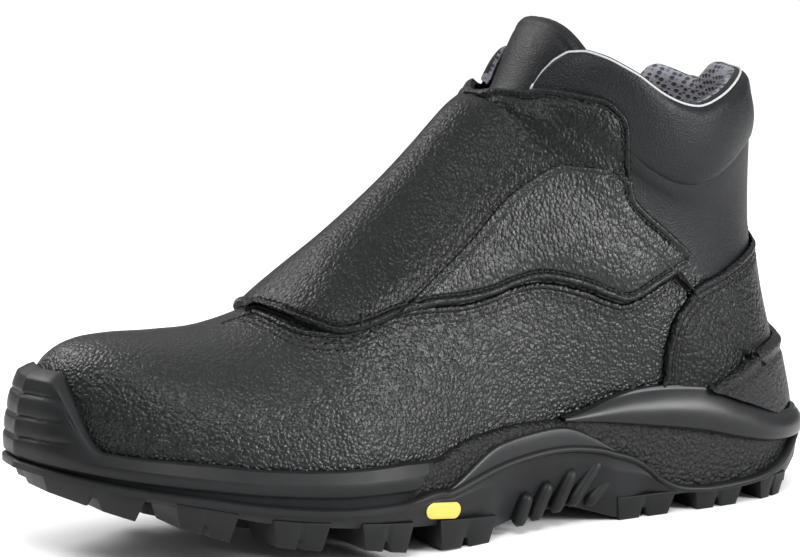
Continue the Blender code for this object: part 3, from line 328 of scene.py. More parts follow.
# The upper's form, sampled over rows and turns
class Section:
    """One oval of the upper at a fractional row of the table."""

    def __init__(self, row):
        value = dict(zip(SECTION_COLUMNS, curve_at(SECTIONS, row)[0]))
        front_z = value["toe_up"] * TOE_TOP + value["collar_up"] * COLLAR_TOP
        self.front = np.array([x_of(value["front"]), front_z])
        middle_x = (self.front[0] + x_of(value["back"])) / 2
        mirrored_z = 2 * side_height("floor", middle_x) - self.front[1]
        share = min(max(value["mirrored"], 0.0), 1.0)
        back_z = share * mirrored_z + (1 - share) * value["back_up"] * COLLAR_TOP
        self.back = np.array([x_of(value["back"]), back_z])
        self.middle, self.reach = (self.front + self.back) / 2, (self.back - self.front) / 2
        sole = min(max(value["sole"], 0.0), 1.0)
        lateral, medial = value["lateral"] * HEEL_WIDTH / 2, -value["medial"] * HEEL_WIDTH / 2
        lateral += sole * (outline_y(self.middle[0], FEATHER_INSET, 1) - lateral)
        medial += sole * (outline_y(self.middle[0], FEATHER_INSET, -1) - medial)
        self.centre, self.half = (lateral + medial) / 2, max((lateral - medial) / 2, 0.0)
        self.power = (2 / max(value["round_front"], 2.0), 2 / max(value["round_back"], 2.0))
        self.sag = max(value["sag"], 0.0) * COLLAR_TOP
        self.throat = math.radians(max(value["throat"], 0.0)) if row > THROAT_ROW else 0.0
        self.end = self.feather_angle()
        self.shift = (0.0, 0.0)
        if self.end < math.pi:
            x = self.side_view(self.end)[0]
            faded = float(ease((CORNER_ROW - row) / 1.3))
            self.shift = tuple(
                faded * (outline_y(x, FEATHER_INSET, side) - float(self.oval_y(side * self.end)))
                for side in (1, -1)
            )

    def side_view(self, angle):
        cos = np.cos(angle)
        share = -np.sign(cos) * np.abs(cos) ** np.where(cos > 0, self.power[0], self.power[1])
        drop = self.sag * (1 - share**2) ** 2 * (1 + 0.35 * share)
        return self.middle[0] + share * self.reach[0], self.middle[1] + share * self.reach[1] - drop

    def oval_y(self, angle):
        power = np.where(np.cos(angle) > 0, self.power[0], self.power[1])
        return self.centre + np.sign(angle) * self.half * np.abs(np.sin(angle)) ** power

    def feather_angle(self):
        angles = np.linspace(math.radians(60), math.pi, 1500)
        x, z = self.side_view(angles)
        over = z - side_height("floor", x)
        if over[-1] >= 0:
            return math.pi
        return float(angles[np.nonzero(over > 0)[0][-1]])

    def points(self, turns):
        angle = turns * self.end
        x, z = self.side_view(np.abs(angle))
        shift = np.where(angle >= 0, self.shift[0], self.shift[1])
        near_sole = ease((np.abs(turns) - 0.35) / 0.65)
        return np.column_stack([x, self.oval_y(angle) + shift * near_sole, z])


ROW_STEP = 0.05
ROWS = np.arange(0, TONGUE_ROW + 1e-6, ROW_STEP)
TURNS = np.linspace(-1, 1, 321)
OVALS = [Section(row) for row in ROWS]
FORM = np.array([oval.points(TURNS) for oval in OVALS])
THROATS = np.array([oval.throat / oval.end for oval in OVALS])
ENDS = np.array([oval.end for oval in OVALS])


def form_normals():
    normals = np.cross(np.gradient(FORM, axis=1), np.gradient(FORM, axis=0))
    normals[:4] = normals[4]
    normals[0, :, 1] = 0
    closed = ENDS > math.pi - 1e-6
    joined = normals[closed, 0] + normals[closed, -1]
    normals[closed, 0] = normals[closed, -1] = joined
    length = np.linalg.norm(normals, axis=2)[..., None]
    normals = normals / np.maximum(length, 1e-12)
    away = FORM[100, 200] - FORM[100].mean(axis=0)
    return normals if np.dot(normals[100, 200], away) > 0 else -normals


NORMALS = form_normals()


def sample(grid, row, turn):
    row, turn = np.broadcast_arrays(np.asarray(row, float), np.asarray(turn, float))
    turn = np.where(turn > 1, turn - 2, np.where(turn < -1, turn + 2, turn))
    u = np.clip(row / ROW_STEP, 0, len(ROWS) - 1.001)
    v = np.clip((turn + 1) / 2 * (len(TURNS) - 1), 0, len(TURNS) - 1.001)
    i, j = u.astype(int), v.astype(int)
    a, b = (u - i)[..., None], (v - j)[..., None]
    low = grid[i, j] * (1 - b) + grid[i, j + 1] * b
    high = grid[i + 1, j] * (1 - b) + grid[i + 1, j + 1] * b
    return low * (1 - a) + high * a


def form(row, turn, out=0.0):
    """Points of the upper's form, moved out along its normals."""
    normal = sample(NORMALS, row, turn)
    normal = normal / np.maximum(np.linalg.norm(normal, axis=-1, keepdims=True), 1e-9)
    return sample(FORM, row, turn) + normal * np.asarray(out)[..., None]


def level(distance):
    """One distance out for all rows and turns."""
    return lambda row, turn: 0.0 * row + distance


def lifted(line, out):
    """Points of a line of rows and turns, with a distance out for each."""
    return form(line[:, 0], line[:, 1], out(line[:, 0], line[:, 1]))


def tree_of(points):
    tree = KDTree(len(points))
    for i, p in enumerate(points):
        tree.insert(p, i)
    tree.balance()
    return tree


def side_tree(side):
    keep = np.nonzero(TURNS * side > 0)[0][::2]
    grid = FORM[::2][:, keep]
    flat = grid.reshape(-1, 3) * [1, 0, 1]
    return tree_of(flat), ROWS[::2], TURNS[keep]


TREES = {1: side_tree(1), -1: side_tree(-1)}


def locate(line, side, out=level(0.0)):
    """Rows and turns of the points that the side view's line shows on the form moved out."""
    tree, rows, turns = TREES[side]
    found = np.array([divmod(tree.find((x, 0, z))[1], len(turns)) for x, z in line])
    row, turn = rows[found[:, 0]].copy(), turns[found[:, 1]].copy()

    def seen(row, turn):
        return form(row, turn, out(row, turn))[:, (0, 2)]

    for _ in range(8):
        here = seen(row, turn)
        by_row = (seen(row + 0.05, turn) - here) / 0.05
        by_turn = (seen(row, turn + 0.01) - here) / 0.01
        jac = np.stack([by_row, by_turn * 0.1], axis=2)
        miss = (np.asarray(line) - here)[..., None]
        normal_matrix = jac.transpose(0, 2, 1) @ jac + np.eye(2) * 3e-8
        move = np.linalg.solve(normal_matrix, jac.transpose(0, 2, 1) @ miss)[..., 0]
        row = np.clip(row + np.clip(move[:, 0], -0.4, 0.4), 0, TONGUE_ROW)
        turn = turn + np.clip(move[:, 1] * 0.1, -0.06, 0.06)
        turn = side * np.clip(turn * side, 0.0, 1.0)
    return np.column_stack([row, turn])


def resampled(line, count):
    """A line of rows and turns with its points spread evenly over the form, and its length."""
    line = np.asarray(line, float)
    points = form(line[:, 0], line[:, 1])
    walked = np.concatenate([[0], np.cumsum(np.linalg.norm(np.diff(points, axis=0), axis=1))])
    wanted = np.linspace(0, walked[-1], count)
    return np.column_stack([np.interp(wanted, walked, line[:, i]) for i in (0, 1)]), walked[-1]


def moved_line(line, by):
    """A side view's open line moved to its left by a distance."""
    line = np.asarray(line, float)
    tangent = np.gradient(line, axis=0)
    normal = np.column_stack([-tangent[:, 1], tangent[:, 0]])
    normal /= np.maximum(np.linalg.norm(normal, axis=1), 1e-9)[:, None]
    for _ in range(3):
        normal[1:-1] = (normal[:-2] + normal[1:-1] + normal[2:]) / 3
    normal /= np.maximum(np.linalg.norm(normal, axis=1), 1e-9)[:, None]
    return line + normal * by


# Creases as soft troughs and ridges: two ends, half-width and depth (a negative one is a ridge), in mm
CREASES = (
    ((14, 40, 108), (-8, 36, 92), 3.2, 1.0), ((18, 40, 104), (-2, 39, 86), 3.0, -0.7),
    ((22, 40, 116), (4, 38, 104), 3.4, 0.5), ((186, 34, 72), (166, 50, 58), 7.0, 0.5),
    ((176, 40, 72), (156, 52, 52), 6.0, 0.45), ((206, 22, 77), (196, 44, 60), 6.0, 0.35),
    ((150, 46, 78), (120, 50, 66), 6.0, 0.45), ((110, 44, 84), (70, 44, 74), 6.0, 0.5),
    ((184, -30, 74), (166, -46, 56), 7.0, 0.6), ((172, -36, 72), (150, -46, 50), 6.0, 0.5),
    ((90, -40, 60), (50, -40, 80), 8.0, 0.6), ((18, -40, 108), (-4, -36, 90), 4.0, 0.9),
    ((128, 30, 118), (96, 40, 96), 7.0, 0.5), ((116, 30, 130), (84, 40, 112), 7.0, -0.4),
)


def crease(points):
    shape = points.shape[:-1]
    flat = points.reshape(-1, 3) * 1000
    total = np.zeros(len(flat))
    for start, end, width, depth in CREASES:
        start, run = np.array(start, float), np.subtract(end, start).astype(float)
        share = np.clip((flat - start) @ run / (run @ run), -0.25, 1.25)
        away = np.linalg.norm(flat - start - share[:, None] * run, axis=1)
        fade = ease((share + 0.25) / 0.5) * ease((1.25 - share) / 0.5)
        total -= depth * fade * np.exp(-((away / width) ** 2))
    return total.reshape(shape) / 1000


# Meshes
def named_piece(name, mesh, material, sharp_angle):
    mesh.materials.append(material)
    mesh.shade_smooth()
    mesh.set_sharp_from_angle(angle=math.radians(sharp_angle))
    obj = bpy.data.objects.new(name, mesh)
    bpy.context.scene.collection.objects.link(obj)
    PARTS[name] = obj
    return obj


def mesh_piece(name, points, faces, material, merge=0.0):
    mesh = bpy.data.meshes.new(name)
    mesh.from_pydata(np.asarray(points, float).tolist(), [], faces)
    build = bmesh.new()
    build.from_mesh(mesh)
    if merge:
        bmesh.ops.remove_doubles(build, verts=build.verts, dist=merge)
        bmesh.ops.dissolve_degenerate(build, edges=build.edges, dist=1e-7)
    bmesh.ops.recalc_face_normals(build, faces=build.faces)
    build.to_mesh(mesh)
    build.free()
    return named_piece(name, mesh, material, 50)


def grid_faces(rows, width, closed=False, base=0):
    starts = range(base, base + (rows - 1) * width, width)
    across = [(j, (j + 1) % width) for j in range(width if closed else width - 1)]
    return [(a + j, a + k, a + width + k, a + width + j) for a in starts for j, k in across]


def grid_piece(name, grid, material):
    return mesh_piece(name, grid.reshape(-1, 3), grid_faces(*grid.shape[:2]), material, 1e-5)


def spread(count, power=0.5):
    """Shares from 0 to 1, closer together at both ends."""
    even = np.linspace(0, 1, count)
    return (1 - power) * even + power * (0.5 - 0.5 * np.cos(np.pi * even))


def ruled(line_a, line_b, rows, width):
    """Rows and turns between two lines over the form."""
    a, b = resampled(line_a, rows)[0], resampled(line_b, rows)[0]
    v = spread(width, 0.75)[None, :, None]
    return a[:, None] * (1 - v) + b[:, None] * v


def nearest(tree, points):
    return np.array([tree.find(p)[2] for p in points.reshape(-1, 3).tolist()]).reshape(points.shape[:-1])


def edge_distance(points, edges):
    """Distance of each point from the lines of points that are a panel's edges."""
    dense = []
    for edge in edges:
        at = np.linspace(0, len(edge) - 1, max(len(edge) * 3, 400))
        dense.append(np.column_stack([np.interp(at, np.arange(len(edge)), edge[:, i]) for i in range(3)]))
    return nearest(tree_of(np.concatenate(dense)), points)


def round_edge(distance, radius):
    return np.sqrt(np.maximum(1 - (1 - np.minimum(distance / radius, 1)) ** 2, 0))


def ridge(distance, at, width, height):
    return height * np.exp(-(((distance - at) / width) ** 2))


def tube(name, points, radius, material, sides=8):
    """A round cord along points."""
    tangent = np.gradient(points, axis=0)
    tangent /= np.maximum(np.linalg.norm(tangent, axis=1), 1e-9)[:, None]
    side = np.cross(tangent, [0, 0, 1.0])
    side[np.linalg.norm(side, axis=1) < 0.1] = [1.0, 0, 0]
    side /= np.linalg.norm(side, axis=1)[:, None]
    up = np.cross(side, tangent)
    turn = np.linspace(0, 2 * np.pi, sides, endpoint=False)
    ring = side[:, None] * np.cos(turn)[None, :, None] + up[:, None] * np.sin(turn)[None, :, None]
    grid = points[:, None] + ring * np.broadcast_to(radius, len(points))[:, None, None]
    faces = grid_faces(len(points), sides, True)
    faces += [tuple(range(sides)), tuple(range(sides * len(points) - sides, sides * len(points)))]
    return mesh_piece(name, grid.reshape(-1, 3), faces, material)


STITCH_SIDES = 6
# A stitch's rings: shares of its half-length and of its radius
STITCH_RINGS = ((-1.0, 0.25), (-0.7, 0.9), (0.0, 1.1), (0.7, 0.9), (1.0, 0.25))
STITCH_CROWN = 0.00012


def stitches(name, lines, pitch=0.0026, length=0.0019, radius=0.00036):
    """Rows of stitches: each line is rows and turns over the form and a distance out."""
    points, faces = [], []
    turn = np.linspace(0, 2 * np.pi, STITCH_SIDES, endpoint=False)[:, None]
    for line, out in lines:
        count = max(int(resampled(line, 4)[1] / pitch), 2)
        spots, _ = resampled(line, count * 4 + 1)
        place = lifted(spots, out)
        normal = sample(NORMALS, spots[:, 0], spots[:, 1])
        for k in range(2, count * 4 - 1, 4):
            run = place[k + 1] - place[k - 1]
            run /= max(np.linalg.norm(run), 1e-9)
            ring = np.cross(normal[k], run) * np.cos(turn) + normal[k] * np.sin(turn) * 0.8
            base = len(points)
            for along, wide in STITCH_RINGS:
                centre = place[k] + run * along * length / 2 + normal[k] * STITCH_CROWN * (1 - along**2)
                points.extend(centre + ring * wide * radius)
            end = base + STITCH_SIDES * len(STITCH_RINGS)
            faces += grid_faces(len(STITCH_RINGS), STITCH_SIDES, True, base)
            faces += [tuple(range(base, base + STITCH_SIDES)), tuple(range(end - STITCH_SIDES, end))]
    return mesh_piece(name, points, faces, THREAD)


# Materials
def add(tree, kind, inputs, **settings):
    """A node; each input is a value or another node's output."""
    made = tree.nodes.new("ShaderNode" + kind)
    for key, value in settings.items():
        setattr(made, key, value)
    for key, value in inputs.items():
        if isinstance(value, bpy.types.NodeSocket):
            tree.links.new(value, made.inputs[key])
        else:
            made.inputs[key].default_value = value
    return made


def base_material(name, colour, roughness, specular, coat=0.0, coat_roughness=0.3):
    material = bpy.data.materials.new(name)
    material.use_nodes = True
    shader = material.node_tree.nodes["Principled BSDF"]
    values = {
        "Base Color": (*colour, 1), "Roughness": roughness, "Specular IOR Level": specular,
        "Coat Weight": coat, "Coat Roughness": coat_roughness,
    }
    for key, value in values.items():
        shader.inputs[key].default_value = value
    return material, material.node_tree, shader


def coordinates(tree, stretch=(1, 1, 1), turn=(0, 0, 0), warp=0.0, warp_scale=150.0):
    source = add(tree, "TexCoord", {}).outputs["Object"]
    mapped = add(tree, "Mapping", {"Vector": source, "Scale": stretch, "Rotation": turn}).outputs["Vector"]
    if not warp:
        return mapped
    colour = noise(tree, mapped, warp_scale, 2.0, output="Color")
    inputs = {0: colour, 1: (warp, warp, warp), 2: mapped}
    return add(tree, "VectorMath", inputs, operation="MULTIPLY_ADD").outputs[0]


def noise(tree, vector, scale, detail, roughness=0.5, output="Fac"):
    inputs = {"Vector": vector, "Scale": scale, "Detail": detail, "Roughness": roughness}
    return add(tree, "TexNoise", inputs).outputs[output]


def cells(tree, vector, scale, feature="F1", **inputs):
    inputs.update(Vector=vector, Scale=scale)
    return add(tree, "TexVoronoi", inputs, feature=feature).outputs["Distance"]


def plus(tree, a, b):
    return add(tree, "Math", {0: a, 1: b}, operation="ADD").outputs[0]


def times(tree, a, b):
    return add(tree, "Math", {0: a, 1: b}, operation="MULTIPLY").outputs[0]


def ranged(tree, value, low, high, to_low, to_high):
    inputs = {"Value": value, "From Min": low, "From Max": high, "To Min": to_low, "To Max": to_high}
    return add(tree, "MapRange", inputs).outputs["Result"]


def bumped(tree, shader, height, strength, distance):
    bump = add(tree, "Bump", {"Height": height, "Strength": strength, "Distance": distance})
    tree.links.new(bump.outputs["Normal"], shader.inputs["Normal"])


def tinted(tree, shader, factor, dark, light):
    ramp = add(tree, "ValToRGB", {"Fac": factor})
    for element, colour in zip(ramp.color_ramp.elements, (dark, light)):
        element.color = (*colour, 1)
    tree.links.new(ramp.outputs["Color"], shader.inputs["Base Color"])


def leather(name, dark, light, roughness, grain=760.0, depth=0.00034, specular=0.28,
            stretch=(1, 1, 1), turn=(0, 0, 0)):
    """Pebbled leather: cells with soft folds between them, finer wrinkles and an uneven gloss."""
    material, tree, shader = base_material(name, light, roughness, specular)
    vector = coordinates(tree, stretch, turn, 0.0016, 260.0)
    pebbles = cells(tree, vector, grain, "SMOOTH_F1", Smoothness=0.35)
    small = cells(tree, vector, grain * 2.1)
    wrinkle = noise(tree, vector, grain * 0.55, 4.0, 0.6)
    broad = noise(tree, vector, 28.0, 3.0)
    domes = ranged(tree, pebbles, 0.0, 0.75, 1.0, 0.0)
    fine = ranged(tree, small, 0.0, 0.8, 0.25, 0.0)
    height = plus(tree, plus(tree, domes, fine), times(tree, wrinkle, 0.9))
    bumped(tree, shader, height, 0.9, depth)
    uneven = plus(tree, times(tree, broad, 0.16), times(tree, wrinkle, 0.18))
    tree.links.new(plus(tree, uneven, roughness - 0.17), shader.inputs["Roughness"])
    # Colour follows the grain's height: painted shade in the hollows and a painted highlight on the pebbles'
    # tops.
    tinted(tree, shader, ranged(tree, height, 0.6, 1.7, 0.0, 1.0), dark, light)
    return material


def crumb(name, dark, light, roughness):
    """Rubber or foam moulded with a coarse crumb texture."""
    material, tree, shader = base_material(name, light, roughness, 0.25)
    vector = coordinates(tree, warp=0.001, warp_scale=400.0)
    grains = ranged(tree, cells(tree, vector, 620.0), 0.0, 0.7, 1.0, 0.0)
    height = plus(tree, grains, noise(tree, vector, 992.0, 3.0, 0.7))
    bumped(tree, shader, height, 0.9, 0.0006)
    # Colour follows the crumb's height: painted shade between the grains and painted highlights on them.
    tinted(tree, shader, ranged(tree, height, 0.5, 1.6, 0.0, 1.0), dark, light)
    return material


def rubber(name, dark, light, roughness, coat=0.0):
    """Moulded rubber with a very fine grain and faint scuffs."""
    material, tree, shader = base_material(name, light, roughness, 0.20, coat, 0.35)
    vector = coordinates(tree)
    broad = noise(tree, vector, 60.0, 5.0, 0.6)
    bumped(tree, shader, noise(tree, vector, 2600.0, 3.0, 0.6), 0.35, 0.00012)
    uneven = ranged(tree, broad, 0.3, 0.7, roughness - 0.06, roughness + 0.06)
    tree.links.new(uneven, shader.inputs["Roughness"])
    tinted(tree, shader, ranged(tree, broad, 0.3, 0.7, 0.0, 1.0), dark, light)
    return material


def spacer(name, dark, light):
    """Knitted spacer mesh: rows of small round pits."""
    material, tree, shader = base_material(name, light, 0.9, 0.15)
    vector = coordinates(tree, (1.0, 1.0, 1.25), (0.0, 0.6, 0.3))
    pits = ranged(tree, cells(tree, vector, 430.0, Randomness=0.15), 0.28, 0.50, 0.0, 1.0)
    height = plus(tree, pits, times(tree, noise(tree, vector, 2400.0, 2.0), 0.35))
    bumped(tree, shader, height, 1.0, 0.0007)
    # The pits are painted dark: painted shade inside the holes of the knit.
    tinted(tree, shader, pits, dark, light)
    return material


def plain(name, colour, roughness, specular=0.4, grain=0.00008, scale=1800.0):
    material, tree, shader = base_material(name, colour, roughness, specular)
    bumped(tree, shader, noise(tree, coordinates(tree), scale, 3.0), 0.5, grain)
    return material


FLAP_GRAIN = {"grain": 820.0, "depth": 0.00028, "stretch": (1.0, 1.0, 0.7), "turn": (0.0, 0.6, 0.0)}
LEATHER = leather("leather_main", (0.0015, 0.0019, 0.0019), (0.0055, 0.0068, 0.0066), 0.33)
LEATHER_FLAP = leather("leather_flap", (0.0015, 0.0019, 0.0019), (0.0055, 0.0068, 0.0066), 0.34, **FLAP_GRAIN)
# The flap's front: a darker, less glossy copy of the flap's leather, as painted shade on that face.
LEATHER_FLAP_SHADED = leather("leather_flap_shaded", (0.0010, 0.0013, 0.0013), (0.0040, 0.0050, 0.0048), 0.36,
                        specular=0.19, **FLAP_GRAIN)
LEATHER_COUNTER = leather("leather_counter", (0.0010, 0.0013, 0.0013), (0.0040, 0.0048, 0.0048), 0.38,
                          620.0, 0.0004, 0.18)
SMOOTH = leather("leather_smooth", (0.0030, 0.0034, 0.0042), (0.0058, 0.0065, 0.0078), 0.44,
                 1500.0, 0.00010, 0.19)
LINING = spacer("mesh_lining", (0.045, 0.045, 0.052), (0.20, 0.20, 0.225))
RUBBER = rubber("rubber_outsole", (0.0045, 0.0048, 0.0053), (0.0085, 0.0090, 0.0098), 0.46)
CRUMB = crumb("foam_crumb", (0.0015, 0.0016, 0.0018), (0.0080, 0.0084, 0.0090), 0.42)
SATIN = rubber("satin_stabiliser", (0.0065, 0.0068, 0.0074), (0.0100, 0.0105, 0.0113), 0.34, 0.1)
THREAD = plain("thread_black", (0.006, 0.006, 0.0065), 0.6, 0.25)
PIPING = plain("edge_grey", (0.34, 0.34, 0.35), 0.8)
EDGE = plain("edge_black", (0.004, 0.004, 0.0045), 0.7, 0.2)
FOOTBED = plain("footbed_cloth", (0.30, 0.30, 0.32), 0.95, 0.2, 0.0003, 900.0)
YELLOW = plain("inlay_yellow", (0.56, 0.38, 0.07), 0.5)


# Upper: vamp and quarters
def shell(name, rows, shares, throat_share, out, material):
    """Both sides of the upper, each from beside the throat to the sole or the back."""
    start = np.interp(rows, ROWS, THROATS)[:, None] * throat_share
    row = np.repeat(rows[:, None], len(shares), axis=1)
    points, faces = [], []
    for side in (-1, 1):
        turn = side * (start + (1 - start) * shares)
        faces += grid_faces(*row.shape, base=len(points))
        points.extend(form(row, turn, out(row, turn)).reshape(-1, 3))
    return mesh_piece(name, points, faces, material, 2e-5)


def upper_skin():
    rows = np.concatenate([
        np.linspace(0, THROAT_ROW, 120)[:-1], np.linspace(THROAT_ROW, SEAM_ROW + 0.25, 170),
    ])
    skin = shell("upper_leather", rows, spread(120, 0.15), 0.9,
                 lambda row, turn: crease(form(row, turn)) * ease(np.abs(turn) / 0.08), LEATHER)
    skin.data.materials.append(SMOOTH)
    tree = tree_of(FORM[::2, ::2].reshape(-1, 3))
    width = len(TURNS[::2])
    for face in skin.data.polygons:
        row = ROWS[::2][tree.find(face.center)[1] // width]
        if row > ANKLE_ROW and face.center.x < ANKLE_FRONT:
            face.material_index = 1


upper_skin()
shell("upper_lining", np.linspace(0.4, SEAM_ROW + 0.6, 110), np.linspace(0, 1, 60), 0.95,
      level(-LINING_DEPTH), LINING)


# Sewn panels
def panel(name, pieces, out, material, merge=1e-5):
    """Leather over the form: each piece is its rows and turns and its edges, out uses the edge distance."""
    points, faces = [], []
    for coords, edges in pieces:
        row, turn = coords[..., 0], coords[..., 1]
        base = form(row, turn)
        grid = form(row, turn, out(row, turn, edge_distance(base, edges)) + crease(base))
        faces += grid_faces(*row.shape, base=len(points))
        points.extend(grid.reshape(-1, 3))
    return mesh_piece(name, points, faces, material, merge)


def cut_edge(name, line, count, high, low):
    """The cut edge of a panel, between two distances out."""
    fine, _ = resampled(line, count)
    grid_piece(name, np.stack([lifted(fine, high), lifted(fine, low)]), EDGE)


def flap_out(row, turn, more=0.0):
    angle = np.abs(turn) * np.interp(row, ROWS, ENDS)
    over_ridge = np.cos(np.minimum(angle * 1.3, math.pi / 2))
    started = ease((row - 6.8) / 2.5)
    return FLAP_THICK + FLAP_STANDOFF * (0.4 + 0.6 * started) + RIDGE_STANDOFF * over_ridge * started + more


def flap_face(row, turn, d):
    """The flap's outer face: a rolled edge, a sewn groove inside it, and its edges nearer to the vamp."""
    lowered = 0.7 * (flap_out(row, turn) - FLAP_THICK) * ridge(d, 0, 0.006, 1)
    welt = ridge(d, 0.0012, 0.0009, 0.0006) - ridge(d, SEWN_IN, 0.0006, 0.0006)
    return flap_out(row, turn) + welt - 0.0012 * (1 - round_edge(d, 0.0010)) - lowered


def flap_rim(more):
    return lambda row, turn: flap_face(row, turn, 0 * row) + more


def flap_front():
    tip = [[locate([FLAP_TIP], 1, flap_out)[0, 0], 0.0]]
    lateral = np.concatenate([tip, locate(line_xz(FLAP_EDGE), 1, flap_out), smooth_line(FLAP_BACK)])
    medial = np.concatenate([tip, locate(line_xz(FLAP_MEDIAL), -1, flap_out)])
    coords = ruled(medial, lateral, 260, 190)
    top = coords[-1]
    turns, rows = smooth_line(FLAP_TOP).T
    share = np.clip(top[:, 1] / medial[-1, 1], 0, 1)
    rise = (np.interp(share * turns[-1], turns, rows) - rows[0]) / (rows[-1] - rows[0])
    inner_row = rows[0] + (medial[-1, 0] - rows[0]) * rise
    shift = np.where(top[:, 1] > 0, np.interp(top[:, 1], turns, rows), inner_row) - top[:, 0]
    coords[..., 0] += shift[None, :] * ease((np.linspace(0, 1, 260) - 0.72) / 0.28)[:, None]
    edges = [form(line[:, 0], line[:, 1]) for line in (medial, lateral, coords[-1])]
    panel("flap_front_leather", [(coords, edges)], flap_face, LEATHER_FLAP_SHADED)
    rim = np.concatenate([medial, coords[-1], lateral[::-1]])
    cut_edge("flap_edge", rim, 700, flap_rim(0.0002), flap_rim(-0.0014))
    return lateral


def flap_side(lateral):
    seam = locate(SEAM_XZ, 1, flap_out)
    start = np.argmin(np.linalg.norm(lateral - seam[0], axis=1))
    end = np.argmin(np.linalg.norm((lateral - seam[-1]) * [1, 6], axis=1))
    outer = np.concatenate([[seam[0]], lateral[start + 1:end], [seam[-1]]])
    coords = ruled(seam, outer, 230, 130)
    seam_edge, outer_edge = (form(line[:, 0], line[:, 1]) for line in (seam, outer))
    base = form(coords[..., 0], coords[..., 1])
    to_seam = nearest(tree_of(seam_edge), base)
    to_outer = edge_distance(base, [outer_edge])
    step = 0.0013 * (1 - round_edge(to_seam, 0.0009)) * ease((to_outer - 0.001) / 0.003)
    raised = SIDE_LIFT + 0.0004 - step - ridge(to_seam, 0.0020, 0.0006, 0.0004)
    panel("flap_side_leather", [(coords, [outer_edge])],
          lambda row, turn, d: flap_face(row, turn, d) + raised, LEATHER_FLAP)
    cut_edge("flap_side_edge", outer, 240, flap_rim(SIDE_LIFT), level(0.0004))


SEAM_XZ = line_xz(FLAP_SEAM)
flap_side(flap_front())


def flap_stitches():
    """Rows of stitches in the groove along the flap's edges and beside the side panel's seam."""
    back_xz = lifted(smooth_line(FLAP_BACK), flap_out)[:, [0, 2]]
    edge = moved_line(np.concatenate([line_xz(FLAP_EDGE), back_xz]), -SEWN_IN)
    rows = [
        (edge[3:34], -0.0008), (edge[36:112], 0.0001), (edge[130:183], 0.0001), (edge[188:-4], -0.0008),
        (moved_line(SEAM_XZ, -0.0012)[2:-2], 0.0001),
    ]
    lines = [
        (locate(line, 1, flap_out), lambda row, turn, more=more: flap_out(row, turn, more))
        for line, more in rows
    ]
    return stitches("flap_stitches", lines, 0.0023, 0.0017, 0.00030)


flap_stitches()


# Counter and guard at the heel
def wrap_patch(name, upper_edge, lower, rows, width, out, material):
    pieces = []
    for side in (1, -1):
        edge = upper_edge(side)
        pieces.append((ruled(lower(side), edge, rows, width), [form(edge[:, 0], edge[:, 1])]))
    return panel(name, pieces, out, material, 3e-5)


def back_row(height, out):
    """Row at which the back of the form stands at a height."""
    rows = np.linspace(13.5, 21, 300)
    return float(np.interp(height, form(rows, np.ones(300), np.full(300, out))[:, 2], rows))


def counter_edge(side):
    line = locate(line_xz(COUNTER_LINE), side, level(COUNTER_THICK))
    line = np.concatenate([[[back_row(COUNTER_BACK, COUNTER_THICK), side]], line[np.abs(line[:, 1]) < 0.97]])
    return np.concatenate([line, [[line[-1, 0] - 0.9, side]]])


def counter_low(side):
    top = counter_edge(side)
    return np.array([[row, side] for row in np.linspace(top[0, 0], top[-1, 0], 60)])


def counter_out(row, turn, d):
    sewn = ridge(d, COUNTER_SEWN[0], 0.0006, 0.0004) + ridge(d, COUNTER_SEWN[1], 0.0006, 0.0003)
    return 0.0019 * round_edge(d, 0.0012) + 0.0001 + ridge(d, 0.0014, 0.0012, 0.0004) - sewn


def guard_line(line, back, side):
    found = locate(line, side, level(GUARD_THICK))
    return np.concatenate([found[np.abs(found[:, 1]) < 0.96], [[back_row(back, GUARD_THICK), side]]])


def guard_edge(side):
    return guard_line(line_xz(GUARD_LINE), GUARD_BACK, side)


def guard_low(side):
    x = x_of(np.linspace(0.186, 0.012, 40))
    return guard_line(np.column_stack([x, side_height("top", x) - 0.001]), GUARD_FOOT, side)


def guard_out(row, turn, d):
    rim = ridge(d, 0.0022, 0.0016, 0.0007) - ridge(d, 0.0058, 0.0012, 0.0005)
    return 0.0015 + 0.0034 * round_edge(d, 0.0022) + rim


wrap_patch("counter_leather", counter_edge, counter_low, 200, 110, counter_out, LEATHER_COUNTER)
wrap_patch("guard_rubber", guard_edge, guard_low, 120, 60, guard_out, CRUMB)


# Collar: padded leather outside, mesh inside, a light raw edge between them
# Its rim, as degrees round from the front and rows of the form
RIM = np.array((
    (26.5, 20.40), (27.2, 20.95), (30.4, 21.60), (35, 22.05), (43, 22.30), (54, 22.42), (69, 22.50),
    (80, 22.42), (88, 22.40), (100, 22.35), (111, 22.42), (135, 22.42), (150, 22.40), (163, 22.40),
    (172, 22.42), (180, 22.48), (184, 22.40), (191, 22.10), (197, 21.80), (206, 21.90), (215, 22.15),
    (223, 22.38), (229, 22.38), (235, 22.15), (250, 22.00), (270, 22.00), (290, 22.05), (305, 22.10),
    (316, 22.00), (322, 21.80), (328, 21.35), (332, 20.90), (334, 20.50),
))
AROUND = RIM[0, 0] + spread(300, 0.55) * (RIM[-1, 0] - RIM[0, 0])


def collar_loops(profile):
    """Points round the collar for a profile of shares of its height and of its padding."""
    up, inward = np.asarray(profile).T[:, None, :]
    rim = np.interp(AROUND, RIM[:, 0], RIM[:, 1])[:, None]
    for _ in range(2):
        rim[1:-1] = (rim[:-2] + 2 * rim[1:-1] + rim[2:]) / 4
    degrees = np.where(AROUND <= 180, AROUND, AROUND - 360)[:, None] + 0 * up
    back = ease((np.abs(degrees) - 70) / 35)
    row = SEAM_ROW + (rim - SEAM_ROW) * up
    pad = COLLAR_FRONT + (COLLAR_PAD - COLLAR_FRONT) * back
    puff = 0.0022 * np.sin(math.pi * np.clip(up * 1.05, 0, 1)) ** 0.7 * (0.25 + 0.75 * back)
    fold = 0.0009 * np.sin(degrees / 7.0 + 3 * up) * np.sin(math.pi * np.clip(up, 0, 1))
    fold = fold * (ridge(np.abs(degrees), 150, 18, 1) + ridge(degrees, 60, 16, 0.5))
    face = (puff - ridge(up, 0, 0.05, 0.0026) + fold) * (inward < 0.5)
    return form(row, degrees / 180, face - pad * inward)


